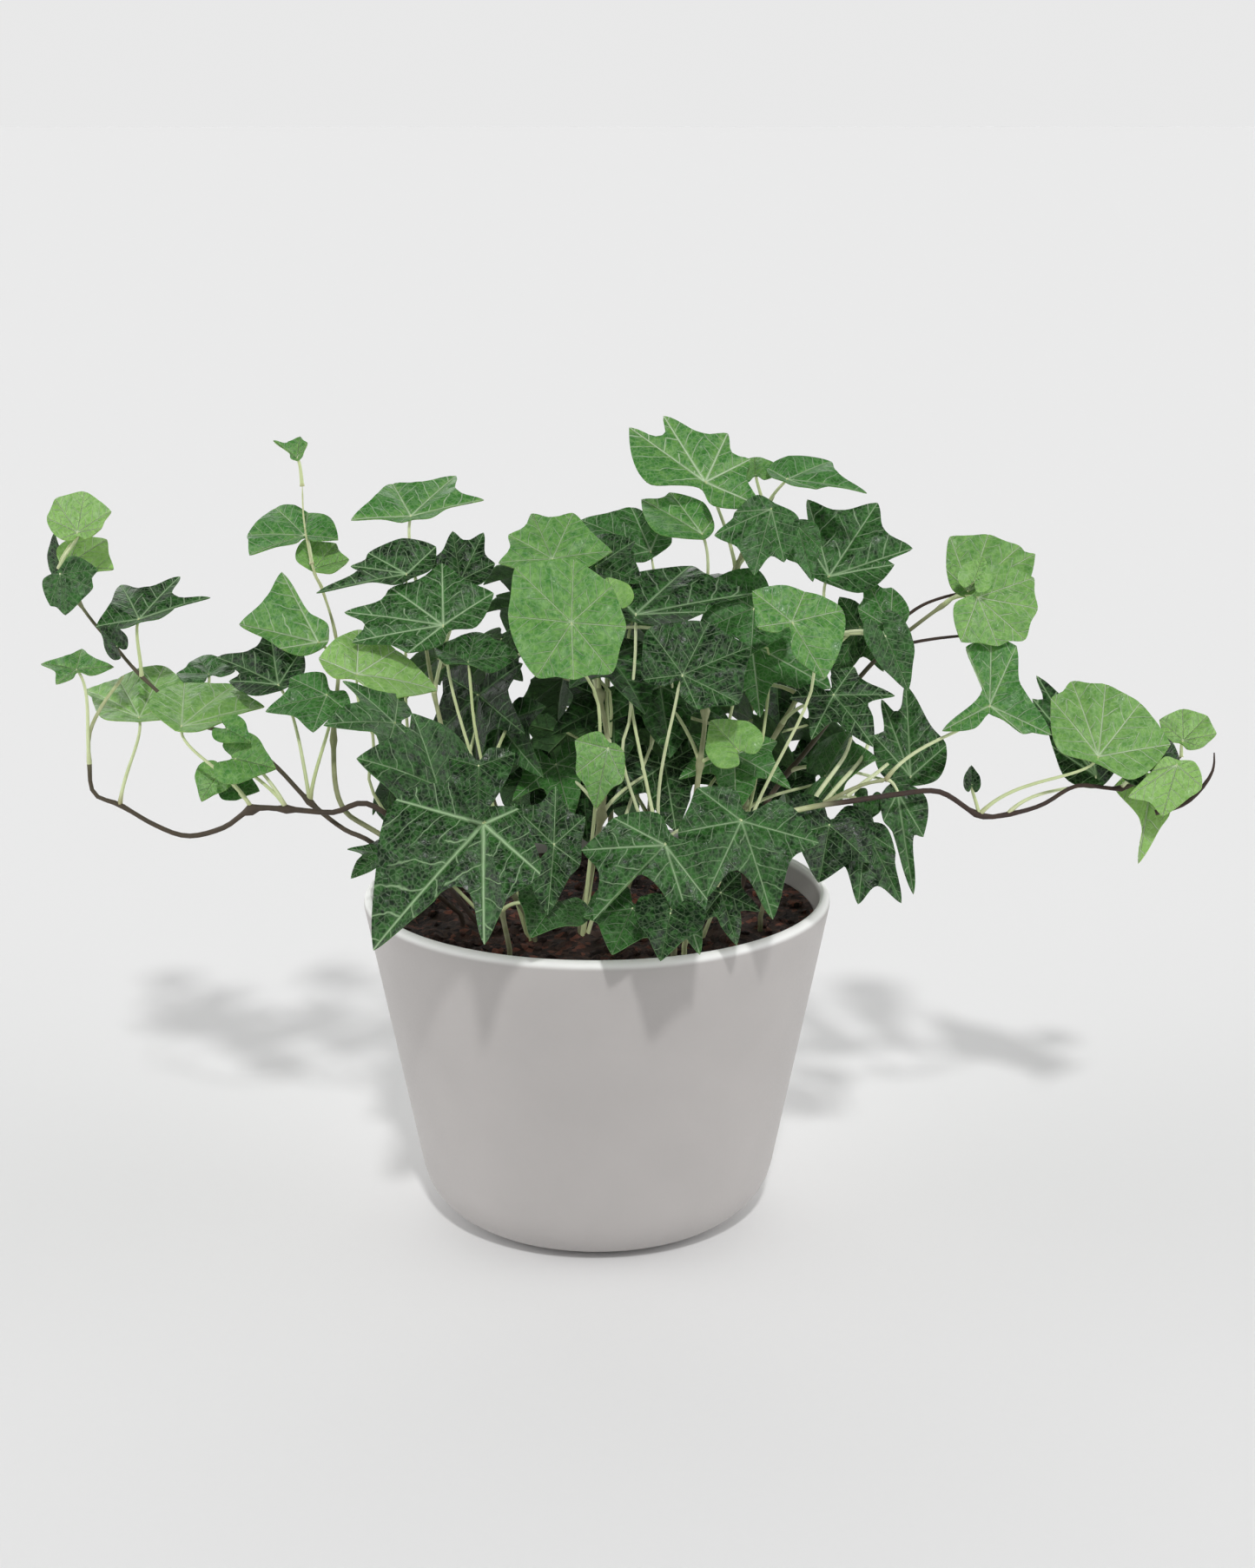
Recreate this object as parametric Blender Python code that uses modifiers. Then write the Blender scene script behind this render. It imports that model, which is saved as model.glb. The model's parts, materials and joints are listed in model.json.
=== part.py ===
"""A potted English ivy: a tapered matt plastic pot, its potting soil, and leafy stems that stand in it.

Metres, +Z up. The origin is on the pot's axis, on the surface that the pot stands on, and -Y is the front.
Each leafy stem is one solid: its woody stem, its leaf stalks and its leaf blades, grown together.
"""

import math
import random
from collections import namedtuple

import bmesh
import bpy
import numpy as np
from mathutils import Matrix, Vector, noise
from mathutils.bvhtree import BVHTree
from mathutils.geometry import interpolate_bezier

MM = 0.001
TURN = 2 * math.pi

# The pot
POT_HEIGHT = 122 * MM
POT_RIM_RADIUS = 85 * MM
POT_FOOT_RADIUS = 61 * MM
POT_CORNER_RADIUS = 20 * MM
POT_WALL = 4 * MM
RIM_ROUNDING = 1.6 * MM
CORNER_STEPS = 4
RIM_STEPS = 3
TURNED_STEPS = 32

# The potting soil
SOIL_TOP = 113 * MM
SOIL_LUMP = 2.5 * MM
SOIL_SLACK = 0.35 * MM
SOIL_RINGS = 4
LUMP_PITCH = 14 * MM

# The ivy
STALK_RADIUS = 0.85 * MM
STALK_POINTS = 4
STALK_NARROWING = 0.7
STEM_NARROWING = 0.65
STEM_POINT_SPACING = 17 * MM
BLADE_THICKNESS = 0.8 * MM
ROOT_DEPTH = 14 * MM
STEM_RISE = 5 * MM
HOLE_SLACK = 0.35 * MM
HOLE_SIDES = 8
CLEARANCE = 0.6 * MM
BEAD_SPACING = 1.6 * MM
DEPTH_SHIFTS = (0, 4, -4, 8, -8, 12, -12, 17, -17, 23, -23, 30, -30)
STALK_CHOICES = 7
SEED = 7
NO_STEM = -1
MOST_LEAN = 1.4
WIDE_GAP = math.radians(100)
BOWS = ((0, 0), (0.5, 0), (-0.5, 0), (0, 0.6), (0, -0.6))

# The leaves that fill the crown: an outer layer over the back, and an inner one that closes the gaps in
# front. A layer has the number of its places, the half size of its dome in mm, how far back its places
# start as a share of that, how much its leaves look up, and its smallest and longest blades in mm.
CROWN_CENTRE = Vector((4 * MM, 4 * MM, 158 * MM))
Layer = namedtuple("Layer", "places size back look_up smallest longest")
OUTER_LAYER = Layer(90, (93, 89, 89), 0.2, 0.75, 24, 32)
INNER_LAYER = Layer(150, (80, 40, 62), -0.75, 0.2, 26, 34)
GOLDEN_TURN = 2.399963

# The eye from which the plant is laid out: a picture 1445 wide and 1806 high, seen through a long lens
EYE = Vector((0.0, -908 * MM, 402 * MM))
EYE_AIM = Vector((11 * MM, 0.0, 161 * MM))
PICTURE_CENTRE = (722.5, 903.0)
FOCAL_PIXELS = 3010.0

# Half outlines of the blades, from the tip round to the notch at the stalk: (degrees from the tip, reach)
FORMS = {
    "star": ((0, 1.0), (19, 0.7), (35, 0.53), (56, 0.88), (88, 0.48), (118, 0.64), (150, 0.4), (180, 0.1)),
    "shield": ((0, 1.0), (22, 0.79), (40, 0.7), (58, 0.86), (118, 0.7), (150, 0.46), (180, 0.1)),
    "heart": ((0, 1.0), (28, 0.74), (62, 0.7), (105, 0.66), (148, 0.48), (180, 0.1)),
    "round": ((0, 1.0), (28, 0.92), (56, 1.02), (84, 0.92), (112, 1.0), (145, 0.84), (180, 0.2)),
}

# hub and tip are where the stalk's end and the tip of the blade are seen in the picture, depth is the hub's
# y in mm, length the blade's, from hub to tip, in mm. side is -1 where the tip leans to the eye and 1 where
# it leans away. face is the way that the upper side looks: degrees to the right of the eye, degrees above
# level. stalk is the length of the leaf's stalk in mm.
Leaf = namedtuple(
    "Leaf",
    "form hub tip depth length face side width droop fold stalk",
    defaults=(-1, 1.0, 0.15, 0.12, 45),
)

# A leaf whose lobes are seen one by one. tips are the lobes' tips in the picture, the main one first. NOTCH
# after a place makes it a notch between lobes. Elsewhere notch is how far the edge between two lobes stands
# out, as a share of the lobes' own reach. The rest is as for a Leaf.
NOTCH = 0
Traced = namedtuple("Traced", "hub tips depth face notch droop fold stalk", defaults=(0.75, 0.1, 0.1, 40))

# A blade in its place. Its own y runs along axis, from the hub to the main tip, and its z along normal. Its
# edge is its outline in units of its size, as (x, y, whether it is a lobe's tip), counterclockwise.
Blade = namedtuple("Blade", "edge hub axis normal size droop fold stalk")

# A stem's root is its (x, y) in the soil, in mm, and its route is seen at (column, row, depth in mm).
Stem = namedtuple("Stem", "name root radius route leaves fillers")

STEMS = (
    Stem("ivy_stem_left_low", (-40, -36), 1.5,
         ((440, 934, -42), (382, 936, -38), (330, 932, -34), (290, 932, -30), (258, 953, -26),
          (216, 963, -22), (178, 950, -18), (138, 927, -15), (108, 914, -12), (103, 880, -10),
          (103, 845, -8), (118, 812, -5), (143, 778, 0)),
         (
             Traced((160, 825), ((134, 771), (94, 779), (189, 766), (224, 800), (106, 803)), -16,
                    (-4, 66), 0.9, 0.1, 0.05, 34),
             Traced((209, 835), ((271, 777), (212, 779), (304, 804), (258, 828)), -18, (6, 66), 0.88,
                    0.12, 0.05, 34),
             Traced((88, 771), ((45, 759), (64, 787), (94, 746), (130, 765)), -8, (-8, 55), 0.6, 0.15,
                    0.1, 30),
             Leaf("heart", (250, 893), (231, 921), -24, 11, (-10, 40), -1, 1.0, 0.1, 0.1, 19),
             Leaf("heart", (268, 905), (298, 909), -27, 10, (10, 45), -1, 1.0, 0.1, 0.1, 14),
             Leaf("heart", (271, 874), (316, 883), -22, 15, (10, 35), -1, 1.0, 0.1, 0.1, 25),
             Leaf("heart", (262, 840), (288, 853), -28, 10, (5, 45), -1, 0.9, 0.1, 0.1, 35),
         ), 0),
    Stem("ivy_stem_left_middle", (-48, -20), 1.5,
         ((435, 975, -40), (396, 955, -34), (357, 924, -27), (315, 880, -20), (270, 846, -14),
          (225, 832, -8), (163, 779, 0), (132, 744, 4), (110, 720, 6), (89, 691, 6), (68, 655, 5),
          (82, 625, 4)),
         (
             Traced((89, 613), ((97, 566), (62, 573), (53, 596), (70, 621), (117, 609), (127, 588)), 2,
                    (-12, 30), 0.93, 0.1, 0.1, 12),
             Traced((77, 652), ((131, 653), (123, 618), (92, 616), (108, 659)), 0, (12, 35), 0.9, 0.15,
                    0.1, 12),
             Traced((69, 661), ((74, 708), (57, 697), (113, 656), (106, 677)), -4, (-8, 22), 0.9, 0.1,
                    0.1, 12),
             Leaf("heart", (68, 650), (60, 614), 9, 11, (-50, 20), -1, 0.7, 0.1, 0.1, 10),
             Traced((160, 712), ((241, 679), (207, 660), (138, 667), (110, 719), (200, 697)), 0, (0, 66),
                    0.6, 0.12, 0.1, 24),
             Leaf("heart", (134, 744), (117, 722), -2, 9, (-10, 60), -1, 1.0, 0.1, 0.1, 10),
             Traced((320, 788), ((246, 747), (309, 716), (348, 748), (262, 780)), -14, (-8, 50), 0.65,
                    0.12, 0.1, 38),
             Leaf("shield", (240, 776), (228, 754), 4, 14, (0, 55), 1, 1.0, 0.1, 0.1, 24),
             Traced((376, 800), ((304, 813), (334, 780), (360, 842), (404, 822)), -22, (-6, 50), 0.75,
                    0.12, 0.1, 40),
         ), 0),
    Stem("ivy_stem_left_upper", (-34, -8), 1.6,
         ((436, 960, -22), (392, 925, -16), (384, 850, -6), (390, 770, 0), (385, 725, 2), (372, 682, 2),
          (359, 650, 2), (350, 600, 2), (348, 560, 2)),
         (
             Traced((342, 527), ((314, 506), (331, 511, NOTCH), (346, 503), (354, 510), (350, 521, NOTCH),
                    (333, 521, NOTCH)), 2, (-10, 50), 0.9, 0.05, 0.1, 12),
             Traced((350, 616), ((286, 634), (284, 612), (317, 583), (389, 619), (355, 591),
                    (318, 628, NOTCH)), -2, (-6, 60), 0.95, 0.1, 0.1, 14),
             Traced((362, 655), ((402, 642), (387, 624), (353, 621)), -1, (6, 50), 0.85, 0.05, 0.1, 10),
             Traced((366, 739), ((273, 715), (326, 662), (356, 706, NOTCH), (322, 746)), -12, (-12, 42),
                    0.82, 0.05, 0.1, 25),
             Traced((411, 776), ((504, 783), (456, 748), (413, 724), (367, 755)), -30, (8, 50), 0.9, 0.12,
                    0.08, 42),
             Leaf("star", (455, 832), (382, 822), -34, 26, (-6, 50), -1, 1.0, 0.15, 0.1, 40),
             Traced((468, 660), ((363, 677), (412, 657, NOTCH), (403, 649), (424, 637), (502, 629),
                    (425, 668, NOTCH)), -10, (-5, 52), 0.85, 0.05, 0.1, 36),
         ), 0),
    Stem("ivy_stem_left_crown", (-22, -34), 1.5,
         ((548, 960, -36), (520, 880, -28), (500, 800, -16), (488, 730, -4)),
         (
             Traced((473, 593), ((525, 541), (557, 573), (518, 583, NOTCH), (452, 557), (404, 597),
                    (438, 597, NOTCH)), 4, (2, 64), 0.72, 0.05, 0.08, 42),
             Traced((530, 668), ((521, 608), (557, 613), (570, 648), (496, 646)), -4, (4, 45), 0.75, 0.1,
                    0.1, 34),
             Traced((510, 719), ((395, 699), (449, 673), (509, 648), (568, 680), (470, 751), (404, 735)),
                    -24, (-4, 44), 0.8, 0.1, 0.06, 46),
             Traced((539, 762), ((500, 742), (548, 727), (597, 752)), -34, (0, 58), 0.8, 0.1, 0.1, 44),
             Leaf("shield", (505, 905), (428, 866), -52, 30, (-15, 42), -1, 1.0, 0.15, 0.1, 40),
         ), 2),
    Stem("ivy_stem_front_left", (-30, -58), 1.4,
         ((570, 1010, -58), (565, 960, -60), (560, 915, -60)),
         (
             Traced((556, 948), ((423, 1086), (482, 1050, NOTCH), (533, 1022, NOTCH), (555, 1084),
                    (584, 1038, NOTCH), (621, 1005), (456, 921), (433, 1003, NOTCH), (596, 930)), -78,
                    (-12, 36), 0.8, 0.1, 0.06, 30),
             Traced((551, 882), ((550, 941), (517, 873), (593, 867)), -72, (0, 42), 0.7, 0.1, 0.1, 26),
             Traced((638, 973), ((631, 1052), (668, 996), (674, 940), (640, 904), (588, 925)), -82,
                    (4, 28), 0.72, 0.1, 0.08, 28),
             Leaf("heart", (640, 1040), (614, 1070), -80, 17, (0, 40), -1, 1.1, 0.15, 0.1, 20),
             Leaf("star", (444, 984), (405, 1003), -50, 16, (-20, 45), -1, 0.9, 0.15, 0.1, 30),
         ), 1),
    Stem("ivy_stem_front_right", (26, -62), 1.4,
         ((785, 1010, -64), (800, 960, -66), (815, 925, -64)),
         (
             Traced((766, 973), ((805, 1097), (739, 1008, NOTCH), (682, 1058), (690, 1006, NOTCH),
                    (669, 978), (706, 941), (814, 1035)), -90, (-6, 28), 0.9, 0.1, 0.06, 26),
             Traced((854, 945), ((893, 1054), (849, 1002, NOTCH), (813, 1033), (790, 990, NOTCH),
                    (781, 958), (803, 906), (911, 990, NOTCH), (943, 970)), -84, (6, 32), 0.9, 0.1, 0.06,
                    22),
             Leaf("shield", (728, 1046), (705, 1092), -82, 19, (-10, 35), -1, 1.0, 0.15, 0.1, 26),
             Leaf("heart", (772, 1052), (762, 1096), -76, 17, (0, 35), -1, 1.0, 0.15, 0.1, 18),
             Leaf("star", (830, 1028), (849, 1084), -74, 19, (6, 35), -1, 0.8, 0.15, 0.1, 20),
         ), 1),
    Stem("ivy_stem_middle_right", (34, -34), 1.6,
         ((800, 940, -40), (806, 880, -36), (812, 820, -24), (806, 760, -10)),
         (
             Traced((732, 706), ((868, 674), (795, 647), (708, 682), (812, 700)), -20, (0, 60), 0.82,
                    0.08, 0.06, 48),
             Traced((786, 777), ((816, 716), (864, 742), (851, 808), (803, 817), (747, 723), (741, 782)),
                    -48, (0, 30), 0.9, 0.08, 0.06, 52),
             Traced((912, 716), ((951, 779), (971, 702), (927, 681), (867, 679), (872, 722)), -46,
                    (6, 32), 0.9, 0.1, 0.08, 52),
             Leaf("heart", (848, 862), (818, 828), -40, 15, (-6, 40), 1, 1.0, 0.1, 0.1, 20),
             Leaf("shield", (868, 700), (806, 722), -10, 22, (0, 40), -1, 1.0, 0.12, 0.1, 46),
             Leaf("star", (866, 742), (958, 788), 6, 32, (4, 36), -1, 1.0, 0.12, 0.1, 44),
             Leaf("star", (846, 868), (848, 930), -10, 27, (4, 30), -1, 1.0, 0.12, 0.1, 30),
         ), 2),
    Stem("ivy_stem_centre", (-6, -30), 1.6,
         ((692, 940, -36), (700, 862, -34), (690, 800, -22), (680, 740, -10)),
         (
             Traced((636, 643), ((612, 587), (574, 648), (585, 613), (660, 592), (705, 633)), -12,
                    (-2, 50), 0.8, 0.08, 0.1, 42),
             Traced((658, 717), ((617, 779), (660, 782), (704, 773), (721, 722), (704, 674), (660, 643),
                    (592, 652), (584, 708)), -56, (-4, 22), 0.93, 0.1, 0.04, 44),
             Traced((749, 634), ((669, 591), (727, 584), (764, 600), (708, 642)), 6, (4, 50), 0.85, 0.1,
                    0.1, 48),
             Traced((700, 862), ((684, 930), (717, 900), (718, 866), (662, 853), (663, 890)), -58,
                    (-10, 26), 0.85, 0.1, 0.1, 20),
             Leaf("heart", (706, 692), (699, 663), -30, 11, (-10, 30), 1, 1.0, 0.1, 0.1, 26),
             Leaf("shield", (686, 652), (736, 664), 2, 19, (0, 40), -1, 1.0, 0.12, 0.1, 42),
             Leaf("star", (765, 880), (778, 948), -10, 28, (0, 30), -1, 1.0, 0.12, 0.1, 30),
             Leaf("star", (640, 880), (656, 935), -10, 25, (0, 30), -1, 1.0, 0.12, 0.1, 30),
         ), 2),
    Stem("ivy_stem_top", (10, 2), 1.7,
         ((760, 900, -6), (790, 800, 4), (830, 700, 8), (862, 620, 8), (880, 590, 6), (893, 566, 4)),
         (
             Traced((812, 554), ((724, 489), (764, 480), (838, 499), (876, 581), (864, 530)), 2, (-6, 44),
                    0.72, 0.05, 0.1, 34),
             Leaf("heart", (870, 546), (868, 524), 2, 9, (-10, 40), 1, 1.3, 0.1, 0.1, 14),
             Traced((907, 551), ((999, 556), (957, 528), (884, 538), (940, 561)), 0, (4, 68), 0.75, 0.1,
                    0.08, 16),
             Traced((808, 614), ((738, 568), (771, 563), (821, 598)), -4, (-4, 50), 0.85, 0.08, 0.1, 40),
             Traced((888, 586), ((868, 659), (822, 614), (846, 590), (903, 646)), -10, (-6, 34), 0.8, 0.1,
                    0.1, 22),
             Traced((918, 605), ((938, 667), (946, 632), (906, 642)), 2, (10, 32), 0.85, 0.1, 0.1, 26),
         ), 2),
    Stem("ivy_stem_right_crown", (44, -12), 1.6,
         ((852, 940, -16), (880, 870, -8), (920, 800, 2), (950, 740, 8)),
         (
             Traced((955, 663), ((1052, 628), (1031, 647), (1011, 578), (930, 573), (926, 620)), 4,
                    (4, 40), 0.78, 0.08, 0.08, 30),
             Traced((1025, 723), ((992, 652), (1028, 677), (988, 700)), -2, (-6, 36), 0.75, 0.08, 0.1,
                    30),
             Leaf("heart", (1020, 733), (1049, 794), -8, 20, (8, 34), -1, 0.6, 0.1, 0.1, 28),
             Leaf("star", (960, 800), (1006, 850), -22, 24, (8, 40), -1, 1.0, 0.12, 0.1, 30),
             Leaf("shield", (950, 893), (1002, 868), -30, 22, (6, 50), -1, 1.0, 0.12, 0.1, 32),
             Leaf("star", (990, 722), (958, 780), 10, 21, (0, 36), -1, 1.0, 0.12, 0.1, 28),
         ), 2),
    Stem("ivy_stem_right_cluster", (52, 4), 1.5,
         ((880, 930, 2), (940, 850, 10), (990, 780, 10), (1028, 742, 8), (1060, 716, 6), (1086, 697, 4),
          (1107, 682, 2)),
         (
             Traced((1116, 680), ((1194, 634), (1176, 626), (1139, 613), (1094, 617), (1090, 656)), -2,
                    (4, 36), 0.93, 0.1, 0.08, 12),
             Traced((1126, 688), ((1182, 735), (1150, 743), (1107, 739), (1196, 700), (1192, 664)), -8,
                    (4, 24), 0.93, 0.1, 0.06, 15),
             Leaf("heart", (1122, 668), (1132, 640), -6, 9, (0, 30), 1, 1.0, 0.1, 0.1, 8),
             Traced((1049, 894), ((1044, 786), (1090, 858), (1006, 846), (1016, 803)), -6, (2, 30), 0.75,
                    0.08, 0.1, 30),
         ), 1),
    Stem("ivy_stem_right_trailing", (30, -50), 1.5,
         ((860, 962, -56), (895, 940, -52), (937, 929, -48), (985, 922, -42), (1032, 915, -36),
          (1082, 912, -30), (1127, 939, -25), (1160, 938, -22), (1200, 927, -18), (1240, 905, -14),
          (1291, 908, -10), (1330, 890, -10), (1360, 872, -10)),
         (
             Traced((1262, 893), ((1194, 773), (1189, 802), (1212, 860), (1246, 812)), -8, (-8, 28), 0.85,
                    0.06, 0.1, 34),
             Traced((1265, 871), ((1275, 785), (1237, 780), (1212, 802), (1314, 808), (1349, 856)), -20,
                    (2, 32), 0.95, 0.1, 0.05, 46),
             Leaf("heart", (1322, 882), (1314, 827), -16, 18, (-4, 24), 1, 0.9, 0.1, 0.1, 12),
             Traced((1362, 853), ((1392, 823), (1362, 816), (1335, 829), (1401, 845), (1384, 861)), -8,
                    (4, 34), 0.92, 0.1, 0.1, 8),
             Traced((1355, 881), ((1340, 938), (1299, 918), (1384, 906), (1326, 888)), -16, (-4, 30),
                    0.85, 0.1, 0.1, 12),
             Traced((1326, 903), ((1311, 992), (1314, 948, NOTCH), (1336, 954, NOTCH), (1347, 937),
                    (1282, 906)), -14, (-10, 30), 0.9, 0.08, 0.08, 8),
             Leaf("heart", (1119, 903), (1119, 880), -28, 7.5, (0, 30), 1, 0.6, 0.1, 0.1, 7),
         ), 0),
    Stem("ivy_stem_right_drooping", (58, -22), 1.4,
         ((905, 955, -28), (950, 925, -30), (990, 905, -28), (1020, 898, -26)),
         (
             Traced((1140, 812), ((1142, 718), (1112, 745), (1131, 795, NOTCH), (1085, 841),
                    (1156, 829, NOTCH), (1178, 845), (1211, 846), (1175, 790, NOTCH), (1171, 742)), -26,
                    (0, 32), 0.9, 0.06, 0.06, 48),
             Traced((1034, 912), ((1052, 1030), (1064, 963), (1018, 945)), -34, (8, 30), 0.6, 0.08, 0.08,
                    9),
             Traced((997, 956), ((1040, 1037), (1031, 979), (989, 1040), (958, 988)), -38, (6, 34), 0.75,
                    0.1, 0.08, 24),
             Leaf("heart", (1000, 922), (992, 950), -32, 10, (0, 30), -1, 0.8, 0.1, 0.1, 12),
             Leaf("shield", (955, 950), (945, 1012), -52, 22, (10, 36), -1, 1.0, 0.12, 0.1, 28),
         ), 0),
    Stem("ivy_stem_back_left", (-30, 28), 1.6,
         ((560, 900, 40), (520, 810, 52), (500, 720, 52)), (), 5),
    Stem("ivy_stem_back_centre", (6, 40), 1.6,
         ((700, 860, 54), (700, 760, 62), (700, 680, 56)), (), 6),
    Stem("ivy_stem_back_right", (40, 30), 1.6,
         ((830, 880, 42), (880, 790, 54), (900, 700, 50)), (), 5),
)


def unit(vector):
    return vector.normalized()


# Where things are seen
def seen_at(column, row, depth):
    """The point of this y that is seen at a column and a row of the picture."""
    forward = unit(EYE_AIM - EYE)
    right = unit(forward.cross(Vector((0, 0, 1))))
    up = right.cross(forward)
    across = (column - PICTURE_CENTRE[0]) / FOCAL_PIXELS
    down = (row - PICTURE_CENTRE[1]) / FOCAL_PIXELS
    ray = forward + right * across - up * down
    return EYE + ray * ((depth - EYE.y) / ray.y)


def look_towards(face):
    yaw, pitch = (math.radians(angle) for angle in face)
    level = math.cos(pitch)
    return Vector((math.sin(yaw) * level, -math.cos(yaw) * level, math.sin(pitch)))


def blade_seen(leaf):
    """The blade of a leaf of the table, turned so that its tip is seen where the table says."""
    if isinstance(leaf, Traced):
        return blade_traced(leaf)
    hub = seen_at(*leaf.hub, leaf.depth * MM)
    ray = unit(seen_at(*leaf.tip, hub.y) - EYE)
    foot = EYE + ray * (hub - EYE).dot(ray)
    aside = (foot - hub).length
    size = max(leaf.length * MM, aside)
    tip = foot + ray * leaf.side * math.sqrt(size**2 - aside**2)
    look = look_towards(leaf.face)
    axis = unit(tip - hub)
    normal = unit(look - axis * look.dot(axis))
    edge = edge_of_form(leaf.form, leaf.width)
    return Blade(edge, hub, axis, normal, size, leaf.droop, leaf.fold, leaf.stalk * MM)


def blade_traced(leaf):
    """The flat blade that faces as the table says, and whose lobes' tips are seen where it says."""
    hub = seen_at(*leaf.hub, leaf.depth * MM)
    normal = look_towards(leaf.face)
    points = []
    for tip in leaf.tips:
        ray = unit(seen_at(*tip[:2], hub.y) - EYE)
        foot = EYE + ray * (hub - EYE).dot(ray)
        aside = (foot - hub).length
        along = (hub - foot).dot(normal) / ray.dot(normal)
        points.append(foot + ray * max(-MOST_LEAN * aside, min(MOST_LEAN * aside, along)) - hub)
    size = points[0].length
    axis = unit(points[0] - normal * points[0].dot(normal))
    across = axis.cross(normal)
    flat = []
    for point, tip in zip(points, leaf.tips):
        flat.append((point.dot(across) / size, point.dot(axis) / size, len(tip) == 2))
    edge = edge_through(flat, leaf.notch)
    return Blade(edge, hub, axis, normal, size, leaf.droop, leaf.fold, leaf.stalk * MM)


# The blades
def edge_of_form(form, width):
    """The edge of one of the forms, counterclockwise from the tip."""
    half = [(math.radians(angle), reach) for angle, reach in FORMS[form]]
    left = [(-math.sin(angle) * reach * width, math.cos(angle) * reach) for angle, reach in half]
    right = [(-x, y) for x, y in reversed(left[1:-1])]
    reaches = [reach for _, reach in half] + [reach for _, reach in reversed(half[1:-1])]
    edge = []
    for index, (x, y) in enumerate(left + right):
        beside = (reaches[index - 1], reaches[(index + 1) % len(reaches)])
        edge.append((x, y, reaches[index] > max(beside)))
    return tuple(edge)


def edge_through(points, notch):
    """An edge through the points, with a notch between tips and the stalk's notch in the widest gap."""
    polar = sorted((math.atan2(-x, y) % TURN, math.hypot(x, y), is_tip) for x, y, is_tip in points)
    ends = polar[1:] + [(polar[0][0] + TURN, *polar[0][1:])]
    widest = max(end[0] - start[0] for start, end in zip(polar, ends))
    edge = []
    for (angle, reach, is_tip), (end_angle, end_reach, end_is_tip) in zip(polar, ends):
        gap = end_angle - angle
        edge.append((angle, reach, is_tip))
        if gap == widest and gap > WIDE_GAP:
            cheek = min(gap * 0.27, math.radians(48))
            edge.append((angle + cheek, reach * 0.55, False))
            edge.append((angle + gap / 2, 0.1, False))
            edge.append((end_angle - cheek, end_reach * 0.55, False))
        elif is_tip and end_is_tip:
            edge.append((angle + gap / 2, notch * (reach + end_reach) / 2, False))
    return tuple((-math.sin(turn) * reach, math.cos(turn) * reach, is_tip) for turn, reach, is_tip in edge)


def blade_height(blade, x, y):
    """How far the blade's surface stands off the flat, at x and y in units of its length."""
    radius = math.hypot(x, y)
    return blade.fold * abs(x) - blade.droop * radius**2


def blade_frame(blade):
    across = blade.axis.cross(blade.normal)
    return Matrix((across, blade.axis, blade.normal)).transposed()


def blade_points(blade, thickness):
    """The hub and the outline of the upper side, then of the lower side."""
    frame = blade_frame(blade)
    flat = [(0.0, 0.0)] + [(x, y) for x, y, _ in blade.edge]
    points = []
    for side in (0.5, -0.5):
        for x, y in flat:
            z = blade_height(blade, x, y) * blade.size + side * thickness
            points.append(blade.hub + frame @ Vector((x * blade.size, y * blade.size, z)))
    return points


def blade_faces(count):
    """The triangles of a plate: a fan from the hub on both sides, and the edge between them."""
    faces = []
    for here in range(1, count + 1):
        there = here % count + 1
        low_here = here + count + 1
        low_there = there + count + 1
        faces += [(0, here, there), (count + 1, low_there, low_here)]
        faces += [(here, low_here, there), (low_here, low_there, there)]
    return faces


def blade_mesh(blade, thickness):
    points = blade_points(blade, thickness)
    return points, blade_faces(len(points) // 2 - 1)


# The stems and the stalks
def smooth_route(points, spacing):
    """A smooth curve through the points, with a point about every spacing."""
    points = [Vector(point) for point in points]
    ends = [points[0] * 2 - points[1]] + points + [points[-1] * 2 - points[-2]]
    route = []
    for before, start, end, after in zip(ends, ends[1:], ends[2:], ends[3:]):
        steps = max(2, round((end - start).length / spacing) + 1)
        leave = start + (end - before) / 6
        arrive = end - (after - start) / 6
        route += interpolate_bezier(start, leave, arrive, end, steps)[:-1]
    return route + [points[-1]]


def stem_route(stem):
    root = Vector((stem.root[0] * MM, stem.root[1] * MM, SOIL_TOP))
    seen = [seen_at(column, row, depth * MM) for column, row, depth in stem.route]
    buried = root - Vector((0, 0, ROOT_DEPTH))
    risen = root + Vector((0, 0, STEM_RISE))
    return [buried] + smooth_route([risen] + seen, STEM_POINT_SPACING)


def stalk_route(start, blade, bow):
    """A stalk's curve, from a point on the stem to the blade's hub, which it meets from below."""
    length = (blade.hub - start).length
    rise = unit(unit(blade.hub - start) + Vector((*bow, 0.7)))
    arrival = unit(blade.normal * 0.8 + blade.axis * 0.5)
    leave = start + rise * length * 0.4
    arrive = blade.hub - arrival * length * 0.25
    return interpolate_bezier(start, leave, arrive, blade.hub, STALK_POINTS)


def beads_on(route):
    """Points along a route, close together."""
    beads = []
    for start, end in zip(route, route[1:]):
        steps = max(1, math.ceil((end - start).length / BEAD_SPACING))
        beads += [start.lerp(end, step / steps) for step in range(steps)]
    return np.array(beads + [route[-1]])


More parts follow.
